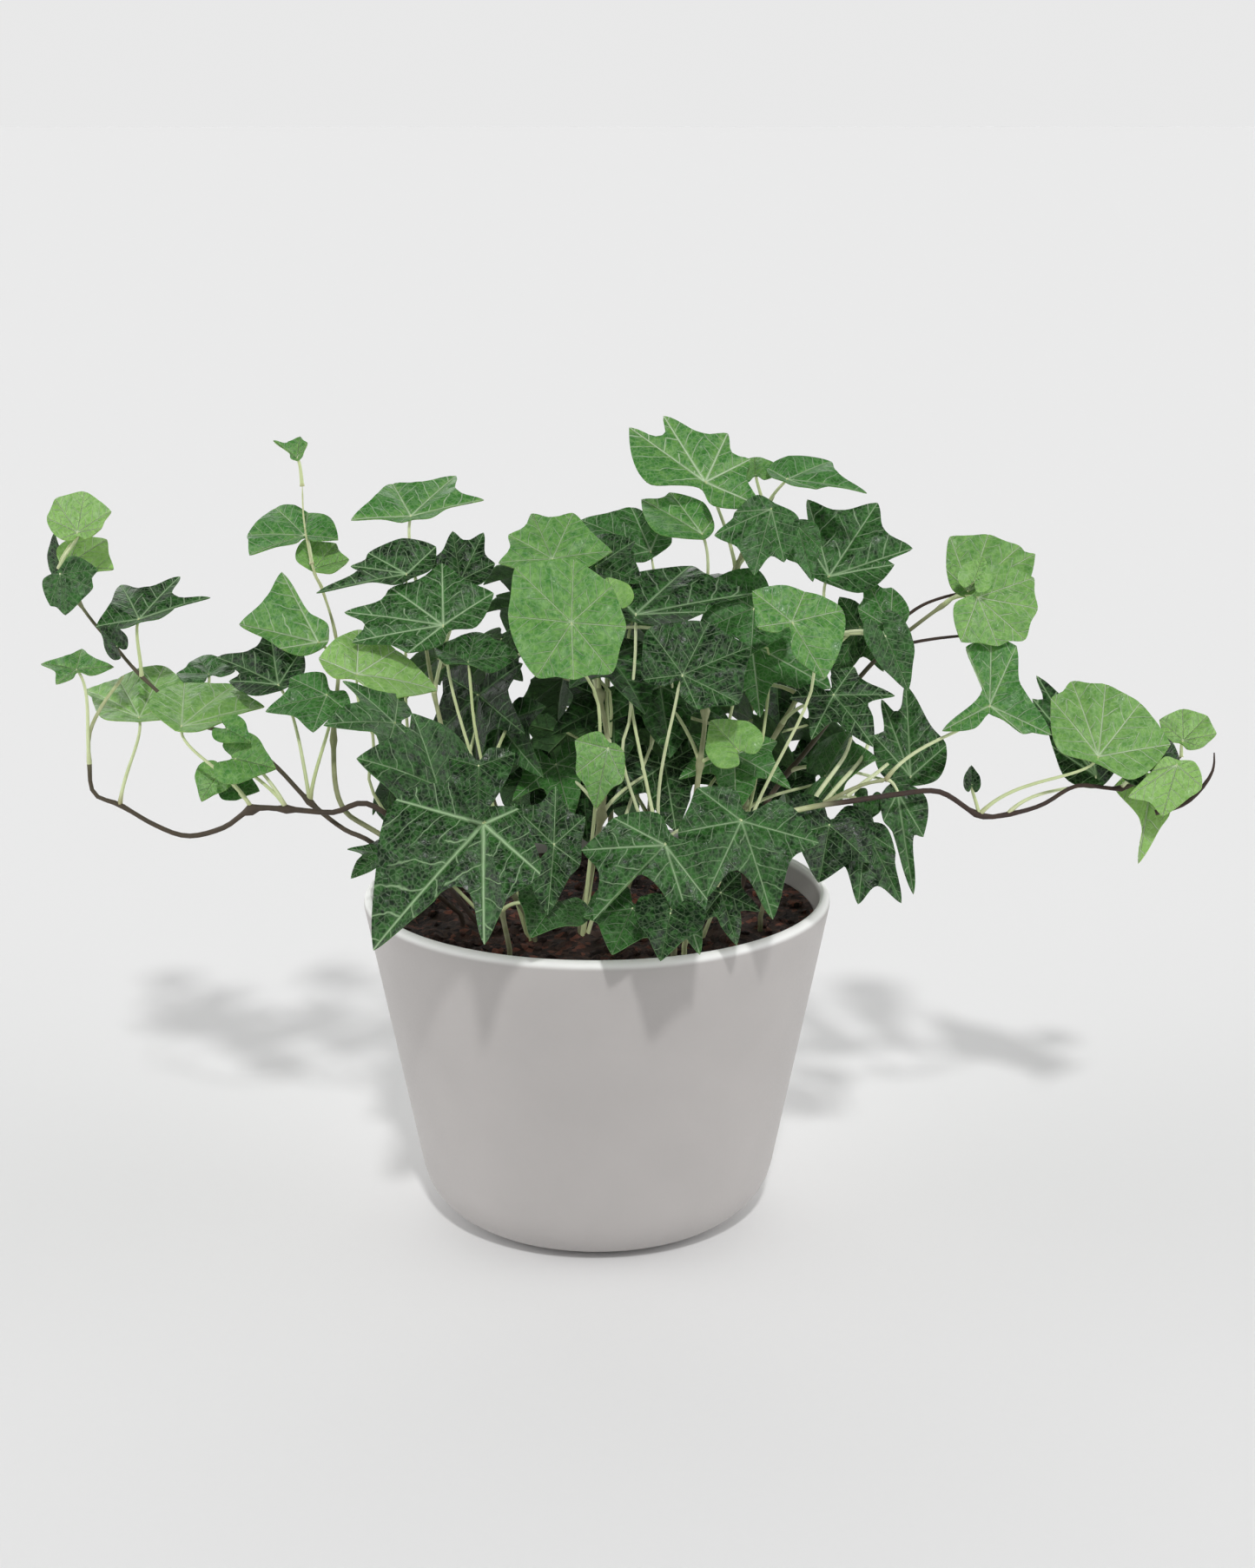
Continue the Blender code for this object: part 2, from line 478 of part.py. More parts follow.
# Keeping the leafy stems clear of each other
class Thicket:
    """What stands so far: blades as trees of their faces, and stems and stalks as beads."""

    def __init__(self):
        self.plates = []
        self.tubes = []

    def add_blade(self, owner, blade):
        points, faces = blade_mesh(blade, BLADE_THICKNESS)
        self.plates.append((owner, BVHTree.FromPolygons(points, faces), blade.hub, blade.size * 1.3))

    def add_fixture(self, obj, reach):
        """The pot or the soil, which belongs to no stem."""
        points = [obj.matrix_world @ vertex.co for vertex in obj.data.vertices]
        faces = [tuple(face.vertices) for face in obj.data.polygons]
        tree = BVHTree.FromPolygons(points, faces)
        self.plates.append((NO_STEM, tree, Vector((0, 0, SOIL_TOP)), reach))

    def add_tube(self, owner, route, radius):
        self.tubes.append((owner, beads_on(route), radius))

    def owners_hit_by_blade(self, blade):
        """The owners of what a blade would touch."""
        points, faces = blade_mesh(blade, BLADE_THICKNESS + 2 * CLEARANCE)
        tree = BVHTree.FromPolygons(points, faces)
        hit = {owner for owner, other, _, _ in self.plates if other.overlap(tree)}
        for owner, beads, radius in self.tubes:
            reach = radius + CLEARANCE
            near = np.linalg.norm(beads - np.array(blade.hub), axis=1) < blade.size * 1.3
            if any(tree.find_nearest(Vector(bead), reach)[0] for bead in beads[near]):
                hit.add(owner)
        return hit

    def owners_hit_by_tube(self, route, radius):
        """The owners of what a stalk would touch."""
        beads = beads_on(route)
        hit = set()
        for owner, tree, centre, size in self.plates:
            reach = radius + CLEARANCE
            near = np.linalg.norm(beads - np.array(centre), axis=1) < size
            if any(tree.find_nearest(Vector(bead), reach)[0] for bead in beads[near]):
                hit.add(owner)
        for owner, others, other_radius in self.tubes:
            apart = np.linalg.norm(beads[:, None] - others[None], axis=2).min()
            if apart < radius + other_radius + CLEARANCE:
                hit.add(owner)
        return hit


def stalk_starts(route, blade):
    """The points of a stem, the likeliest first, from which the stalk of a blade may spring."""
    above = [point for point in route if point.z > SOIL_TOP + 3 * MM]

    def unlikeliness(point):
        off = abs((blade.hub - point).length - blade.stalk)
        too_high = max(0.0, point.z - blade.hub.z + 4 * MM)
        return off + 0.8 * too_high

    return sorted(above, key=unlikeliness)[:STALK_CHOICES]


def fitted(thicket, owner, route, choices):
    """The first of the blades, with its stalk, that touches nothing of another stem.

    One that keeps clear of its own stem's blades as well is preferred. None is returned if none is clear.
    """
    second_best = None
    for blade in choices:
        hit = thicket.owners_hit_by_blade(blade)
        if hit - {owner}:
            continue
        for start in stalk_starts(route, blade):
            for bow in BOWS:
                stalk = stalk_route(start, blade, bow)
                if thicket.owners_hit_by_tube(stalk, STALK_RADIUS) - {owner}:
                    continue
                if not hit:
                    return blade, stalk
                second_best = second_best or (blade, stalk)
    return second_best


# Laying the leaves out
def shifted_choices(leaf):
    """The leaf of the table where it is, then nearer and farther along the line of sight."""
    return [blade_seen(leaf._replace(depth=leaf.depth + shift)) for shift in DEPTH_SHIFTS]


def crown_spots(layer):
    """The seeded places of a layer of the filling leaves, each as a few choices of one blade."""
    rng = random.Random(SEED)
    spots = []
    for index in range(layer.places):
        height = 1 - 1.3 * (index + 0.5) / layer.places
        around = index * GOLDEN_TURN + rng.uniform(-0.2, 0.2)
        ring = math.sqrt(1 - height**2)
        outward = Vector((math.cos(around) * ring, math.sin(around) * ring, height))
        choices = crown_choices(rng, outward, layer)
        if outward.y > layer.back:
            spots.append(choices)
    rng.shuffle(spots)
    return spots


def crown_choices(rng, outward, layer):
    """One blade of the crown, at its place and farther in."""
    size = rng.uniform(layer.smallest, layer.longest) * MM
    normal = unit(outward + Vector((rng.uniform(-0.3, 0.3), rng.uniform(-0.3, 0.3), layer.look_up)))
    hang = Vector((outward.x + rng.uniform(-0.4, 0.4), outward.y + rng.uniform(-0.4, 0.4), -0.6))
    axis = unit(hang - normal * hang.dot(normal))
    form = rng.choice(("star", "star", "shield"))
    width = rng.uniform(0.9, 1.1)
    choices = []
    for inward in (1.0, 0.93, 0.86, 0.79, 0.72):
        hub = CROWN_CENTRE + outward * Vector(layer.size) * MM * inward - axis * size * 0.3
        choices.append(Blade(edge_of_form(form, width), hub, axis, normal, size, 0.15, 0.1, 42 * MM))
    return choices


def nearest_stem(hub, routes, left):
    """The stem that passes nearest to a hub, of those that may still take a filling leaf."""
    free = [index for index, number in enumerate(left) if number > 0]

    def distance(index):
        return min((hub - point).length for point in routes[index])

    return min(free, key=distance, default=None)


def plant_layout(pot, soil):
    """For each stem its route and its leaves, each a blade and the route of its stalk."""
    thicket = Thicket()
    thicket.add_fixture(pot, 140 * MM)
    thicket.add_fixture(soil, 140 * MM)
    routes = [stem_route(stem) for stem in STEMS]
    for index, stem in enumerate(STEMS):
        if thicket.owners_hit_by_tube(routes[index][2:], stem.radius * MM):
            raise ValueError(f"{stem.name} touches another stem or the pot")
        thicket.add_tube(index, routes[index], stem.radius * MM)
    leaves = [[] for _ in STEMS]

    def settle(index, choices):
        found = fitted(thicket, index, routes[index], choices)
        if found:
            thicket.add_blade(index, found[0])
            thicket.add_tube(index, found[1], STALK_RADIUS)
            leaves[index].append(found)
        return found

    for index, stem in enumerate(STEMS):
        for leaf in stem.leaves:
            if not settle(index, shifted_choices(leaf)):
                raise ValueError(f"no room on {stem.name} for the leaf at {leaf.hub}")
    for layer, in_table in ((INNER_LAYER, True), (OUTER_LAYER, False)):
        left = [stem.fillers * (bool(stem.leaves) == in_table) for stem in STEMS]
        for choices in crown_spots(layer):
            index = nearest_stem(choices[0].hub, routes, left)
            if index is not None and settle(index, choices):
                left[index] -= 1
    return list(zip(routes, leaves))


# Making the objects
def fresh_scene():
    for obj in list(bpy.data.objects):
        bpy.data.objects.remove(obj)


def new_object(name, mesh):
    obj = bpy.data.objects.new(name, mesh)
    bpy.context.scene.collection.objects.link(obj)
    return obj


def mesh_object(name, points, faces):
    mesh = bpy.data.meshes.new(name)
    mesh.from_pydata(points, [], faces)
    mesh.validate()
    return new_object(name, mesh)


def evaluated_mesh(obj):
    graph = bpy.context.evaluated_depsgraph_get()
    return bpy.data.meshes.new_from_object(obj.evaluated_get(graph))


def bake(obj):
    """Replaces the object's mesh by what its modifiers make of it."""
    mesh = evaluated_mesh(obj)
    obj.modifiers.clear()
    obj.data = mesh


def tube(name, route, radius, narrowing):
    """A closed four-sided tube along a route, that narrows evenly to its end."""
    curve = bpy.data.curves.new(name, "CURVE")
    curve.dimensions = "3D"
    curve.bevel_depth = radius
    curve.bevel_resolution = 0
    curve.use_fill_caps = True
    spline = curve.splines.new("POLY")
    spline.points.add(len(route) - 1)
    for index, point in enumerate(route):
        spline.points[index].co = (*point, 1)
        spline.points[index].radius = 1 + (narrowing - 1) * index / (len(route) - 1)
    guide = new_object(name + "_guide", curve)
    mesh = evaluated_mesh(guide)
    place = guide.matrix_world.copy()
    bpy.data.objects.remove(guide)
    obj = new_object(name, mesh)
    obj.matrix_world = place
    weld(obj)
    return obj


def weld(obj):
    work = bmesh.new()
    work.from_mesh(obj.data)
    bmesh.ops.remove_doubles(work, verts=work.verts, dist=1e-6)
    bmesh.ops.recalc_face_normals(work, faces=work.faces)
    work.to_mesh(obj.data)
    work.free()


def leafy_stem(stem, route, leaves):
    """A stem with its stalks and its blades, grown into one solid."""
    body = tube(stem.name, route, stem.radius * MM, STEM_NARROWING)
    grown = bpy.data.collections.new(stem.name + "_leaves")
    for index, (blade, stalk) in enumerate(leaves):
        points, faces = blade_mesh(blade, BLADE_THICKNESS)
        parts = (
            mesh_object(f"{stem.name}_blade_{index}", points, faces),
            tube(f"{stem.name}_stalk_{index}", stalk, STALK_RADIUS, STALK_NARROWING),
        )
        for part in parts:
            bpy.context.scene.collection.objects.unlink(part)
            grown.objects.link(part)
    union = body.modifiers.new("grow together", "BOOLEAN")
    union.operation = "UNION"
    union.operand_type = "COLLECTION"
    union.collection = grown
    union.solver = "MANIFOLD"
    bake(body)
    for part in list(grown.objects):
        bpy.data.objects.remove(part)
    bpy.data.collections.remove(grown)
    return body


# The pot and the soil
def wall_profile(inset):
    """The pot's wall from its top to the axis, that far inside the outer face."""
    slope = Vector((POT_RIM_RADIUS - POT_FOOT_RADIUS, POT_HEIGHT)).normalized()
    outward = Vector((slope.y, -slope.x))
    tangent = POT_CORNER_RADIUS / math.tan((math.pi - math.acos(slope.x)) / 2)
    centre = Vector((POT_FOOT_RADIUS - tangent, POT_CORNER_RADIUS))
    top = Vector((POT_RIM_RADIUS, POT_HEIGHT)) - outward * inset
    start = math.atan2(outward.y, outward.x)
    radius = POT_CORNER_RADIUS - inset
    corner = []
    for step in range(CORNER_STEPS + 1):
        angle = start + (-math.pi / 2 - start) * step / CORNER_STEPS
        corner.append(centre + Vector((math.cos(angle), math.sin(angle))) * radius)
    return [top] + corner + [Vector((0.0, inset))]


def rim_profile(outer_top, inner_top):
    """The rounded rim, from the inner wall over to the outer wall."""
    inner_centre = inner_top + Vector((RIM_ROUNDING, -RIM_ROUNDING))
    outer_centre = outer_top - Vector((RIM_ROUNDING, RIM_ROUNDING))
    points = []
    for centre, start in ((inner_centre, math.pi), (outer_centre, math.pi / 2)):
        for step in range(RIM_STEPS + 1):
            angle = start - math.pi / 2 * step / RIM_STEPS
            points.append(centre + Vector((math.cos(angle), math.sin(angle))) * RIM_ROUNDING)
    return points


def turned(name, profile):
    """The solid that a closed profile of (radius, height) sweeps round the axis."""
    points = [(x, 0, z) for x, z in profile]
    mesh = bpy.data.meshes.new(name)
    mesh.from_pydata(points, [(index, index + 1) for index in range(len(points) - 1)], [])
    obj = new_object(name, mesh)
    sweep = obj.modifiers.new("turn", "SCREW")
    sweep.steps = sweep.render_steps = TURNED_STEPS
    sweep.use_merge_vertices = True
    sweep.merge_threshold = 1e-5
    bake(obj)
    weld(obj)
    return obj


def make_pot():
    outer = wall_profile(0.0)
    inner = wall_profile(POT_WALL)
    inner_top = Vector((inner[0].x + (POT_HEIGHT - inner[0].y) * 0.2, POT_HEIGHT))
    rim = rim_profile(Vector((POT_RIM_RADIUS, POT_HEIGHT)), inner_top)
    profile = list(reversed(inner[1:])) + rim + outer[1:]
    pot = turned("pot", profile)
    shade(pot, 40)
    return pot


def soil_profile():
    wall = wall_profile(POT_WALL + SOIL_SLACK)
    top, foot = wall[0], wall[1]
    share = (SOIL_TOP - foot.y) / (top.y - foot.y)
    edge = foot.lerp(top, share)
    rings = [Vector((edge.x * ring / SOIL_RINGS, SOIL_TOP)) for ring in range(SOIL_RINGS)]
    return rings + [edge] + wall[1:]


def make_soil():
    """The root ball, with a lumpy top and a plain hole for each stem."""
    soil = turned("potting_soil", soil_profile())
    edge = soil_profile()[SOIL_RINGS].x
    for vertex in soil.data.vertices:
        inside = min(1.0, (edge - math.hypot(vertex.co.x, vertex.co.y)) / LUMP_PITCH)
        if vertex.co.z > SOIL_TOP - MM:
            vertex.co.z += SOIL_LUMP * inside * noise.noise(vertex.co / LUMP_PITCH)
    cutters = bpy.data.collections.new("stem_holes")
    bpy.context.scene.collection.children.link(cutters)
    for stem in STEMS:
        cutters.objects.link(stem_hole(stem))
    cut = soil.modifiers.new("stem holes", "BOOLEAN")
    cut.operation = "DIFFERENCE"
    cut.operand_type = "COLLECTION"
    cut.collection = cutters
    cut.solver = "EXACT"
    bake(soil)
    for cutter in list(cutters.objects):
        bpy.data.objects.remove(cutter)
    bpy.data.collections.remove(cutters)
    return soil


def stem_hole(stem):
    """The cutter of a stem's hole: an upright prism that the stem stands clear in."""
    radius = (stem.radius * MM + HOLE_SLACK) / math.cos(math.pi / HOLE_SIDES)
    low = SOIL_TOP - ROOT_DEPTH - HOLE_SLACK
    high = SOIL_TOP + 2 * SOIL_LUMP
    x, y = stem.root[0] * MM, stem.root[1] * MM
    points = []
    for z in (low, high):
        for side in range(HOLE_SIDES):
            angle = TURN * side / HOLE_SIDES
            points.append((x + radius * math.cos(angle), y + radius * math.sin(angle), z))
    faces = [tuple(reversed(range(HOLE_SIDES))), tuple(range(HOLE_SIDES, 2 * HOLE_SIDES))]
    for side in range(HOLE_SIDES):
        after = (side + 1) % HOLE_SIDES
        faces.append((side, after, after + HOLE_SIDES, side + HOLE_SIDES))
    mesh = bpy.data.meshes.new(stem.name + "_hole")
    mesh.from_pydata(points, [], faces)
    return bpy.data.objects.new(stem.name + "_hole", mesh)


# Finish
def shade(obj, degrees):
    obj.data.shade_smooth()
    obj.data.set_sharp_from_angle(angle=math.radians(degrees))


def paint(obj, colour, roughness):
    material = bpy.data.materials.new(obj.name + "_material")
    material.use_nodes = True
    shader = material.node_tree.nodes["Principled BSDF"]
    shader.inputs["Base Color"].default_value = (*colour, 1)
    shader.inputs["Roughness"].default_value = roughness
    material.diffuse_color = (*colour, 1)
    obj.data.materials.clear()
    obj.data.materials.append(material)


def main():
    fresh_scene()
    pot = make_pot()
    soil = make_soil()
    paint(pot, (0.62, 0.60, 0.57), 0.55)
    paint(soil, (0.035, 0.022, 0.016), 0.95)
    for stem, (route, leaves) in zip(STEMS, plant_layout(pot, soil)):
        paint(leafy_stem(stem, route, leaves), (0.055, 0.18, 0.04), 0.5)


main()
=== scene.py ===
"""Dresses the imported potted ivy: fine leaves with veins, leaf stalks, bark, a moulded pot and crumbly soil.

Metres, +Z up, in the frame of the CAD model, which is loaded first and stays as it is.
"""

import json
import math
import random
from collections import namedtuple

import bpy
import numpy as np
from mathutils import Matrix, Vector, noise
from mathutils.bvhtree import BVHTree
from mathutils.geometry import interpolate_bezier

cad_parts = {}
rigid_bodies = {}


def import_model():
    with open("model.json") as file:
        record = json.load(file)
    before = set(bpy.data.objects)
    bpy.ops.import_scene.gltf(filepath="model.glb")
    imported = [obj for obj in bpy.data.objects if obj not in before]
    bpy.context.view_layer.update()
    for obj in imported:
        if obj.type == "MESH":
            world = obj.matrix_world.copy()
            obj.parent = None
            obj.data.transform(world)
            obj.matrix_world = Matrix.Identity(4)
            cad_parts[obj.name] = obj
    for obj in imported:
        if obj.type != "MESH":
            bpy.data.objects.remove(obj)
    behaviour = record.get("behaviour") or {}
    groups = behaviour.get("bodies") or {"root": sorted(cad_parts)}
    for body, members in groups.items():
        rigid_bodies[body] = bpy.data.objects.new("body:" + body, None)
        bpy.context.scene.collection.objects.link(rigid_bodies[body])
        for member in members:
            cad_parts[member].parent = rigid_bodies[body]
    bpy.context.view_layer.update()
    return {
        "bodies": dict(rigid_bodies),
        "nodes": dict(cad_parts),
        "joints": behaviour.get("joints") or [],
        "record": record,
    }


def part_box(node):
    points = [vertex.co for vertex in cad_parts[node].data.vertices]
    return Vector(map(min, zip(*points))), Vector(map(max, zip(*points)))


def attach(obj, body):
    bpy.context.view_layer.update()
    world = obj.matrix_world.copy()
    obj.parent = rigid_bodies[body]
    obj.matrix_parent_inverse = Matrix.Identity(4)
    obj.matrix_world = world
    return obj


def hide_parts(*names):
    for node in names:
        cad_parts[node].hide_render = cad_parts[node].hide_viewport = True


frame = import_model()

bl_info = {
    "name": "Potted English ivy",
    "version": (1, 0, 0),
    "blender": (4, 5, 0),
    "location": "View3D > Sidebar > Potted ivy",
    "description": "Leafy stems, a moulded pot and potting soil over the packed model, and a plain studio",
    "category": "Object",
}

MM = 0.001
TURN = 2 * math.pi

# The layout of the plant, which is the CAD model's own. A stalk narrows to this share at its blade.
SOIL_TOP = 113 * MM
STALK_RADIUS = 0.85 * MM
STALK_POINTS = 4
STALK_NARROWING = 0.7
STEM_POINT_SPACING = 17 * MM
BLADE_THICKNESS = 0.8 * MM

# How deep in the soil a stem starts, and how far above it stands upright
ROOT_DEPTH = 14 * MM
STEM_RISE = 5 * MM

# What leafy stems keep between them. A leaf that has no room is shifted along the line of sight, in mm. Its
# stalk springs from one of the likeliest points of the stem, and is bowed in one of these ways.
CLEARANCE = 0.6 * MM
BEAD_SPACING = 1.6 * MM
BLADE_REACH = 1.3
FIXTURE_REACH = 140 * MM
DEPTH_SHIFTS = (0, 4, -4, 8, -8, 12, -12, 17, -17, 23, -23, 30, -30)
STALK_CHOICES = 7
BOWS = ((0, 0), (0.5, 0), (-0.5, 0), (0, 0.6), (0, -0.6))
NO_STEM = -1
SEED = 7

# How a stalk leaves its stem, upwards, and how it comes to its blade: from below and a little from behind.
# The handles of its curve are these shares of its length.
STALK_RISE = 0.7
ARRIVE_BELOW = 0.8
ARRIVE_BEHIND = 0.5
STALK_HANDLES = (0.4, 0.25)

# The outline of a traced blade: how far a lobe's tip may lean, the gap between tips that is wide enough
# for the stalk's notch, and the two cheeks beside that notch
MOST_LEAN = 1.4
WIDE_GAP = math.radians(100)
CHEEK_SHARE = 0.27
MOST_CHEEK = math.radians(48)
CHEEK_REACH = 0.55
STALK_NOTCH = 0.1

# The leaves that fill the crown: an outer layer over the back, and an inner one that closes the gaps in
# front. A layer has the number of its places, the half size of its dome in mm, how far back its places
# start as a share of that, how much its leaves look up, and its smallest and longest blades in mm.
CROWN_CENTRE = Vector((4 * MM, 4 * MM, 158 * MM))
Layer = namedtuple("Layer", "places size back look_up smallest longest")
OUTER_LAYER = Layer(90, (93, 89, 89), 0.2, 0.75, 24, 32)
INNER_LAYER = Layer(150, (80, 40, 62), -0.75, 0.2, 26, 34)
GOLDEN_TURN = 2.399963
INWARD = (1.0, 0.93, 0.86, 0.79, 0.72)
FILLING_WIDTHS = (0.9, 1.1)
FILLING_STALK = 42 * MM
# The filling leaves' tone is kept low: partly older leaves, partly painted shade of the crown's inside
FILLING_TONE_WITH_PAINTED_SHADE = 0.09

# The eye from which the plant is laid out: a picture 1445 wide and 1806 high, seen through a long lens
EYE = Vector((0.0, -908 * MM, 402 * MM))
EYE_AIM = Vector((11 * MM, 0.0, 161 * MM))
PICTURE_CENTRE = (722.5, 903.0)
FOCAL_PIXELS = 3010.0

# Half outlines of the blades, from the tip round to the notch at the stalk: (degrees from the tip, reach)
FORMS = {
    "star": ((0, 1.0), (19, 0.7), (35, 0.53), (56, 0.88), (88, 0.48), (118, 0.64), (150, 0.4), (180, 0.1)),
    "shield": ((0, 1.0), (22, 0.79), (40, 0.7), (58, 0.86), (118, 0.7), (150, 0.46), (180, 0.1)),
    "heart": ((0, 1.0), (28, 0.74), (62, 0.7), (105, 0.66), (148, 0.48), (180, 0.1)),
    "round": ((0, 1.0), (28, 0.92), (56, 1.02), (84, 0.92), (112, 1.0), (145, 0.84), (180, 0.2)),
}

# hub and tip are where the stalk's end and the tip of the blade are seen in the picture, depth is the hub's
# y in mm, length the blade's, from hub to tip, in mm. side is -1 where the tip leans to the eye and 1 where
# it leans away. face is the way that the upper side looks: degrees to the right of the eye, degrees above
# level. stalk is the length of the leaf's stalk in mm.
Leaf = namedtuple("Leaf", "form hub tip depth length face side width droop fold stalk tone")

# A leaf whose lobes are seen one by one. tips are the lobes' tips in the picture, the main one first. NOTCH
# after a place makes it a notch between lobes. Elsewhere notch is how far the edge between two lobes stands
# out, as a share of the lobes' own reach. The rest is as for a Leaf.
NOTCH = 0
Traced = namedtuple("Traced", "hub tips depth face notch droop fold stalk tone")

# A blade in its place. Its own y runs along axis, from the hub to the main tip, and its z along normal. Its
# edge is its outline in units of its size, as (x, y, whether it is a lobe's tip), counterclockwise.
Blade = namedtuple("Blade", "edge hub axis normal size droop fold stalk tone")

# A stem's root is its (x, y) in the soil, in mm, and its route is seen at (column, row, depth in mm).
Stem = namedtuple("Stem", "name root radius route leaves fillers")

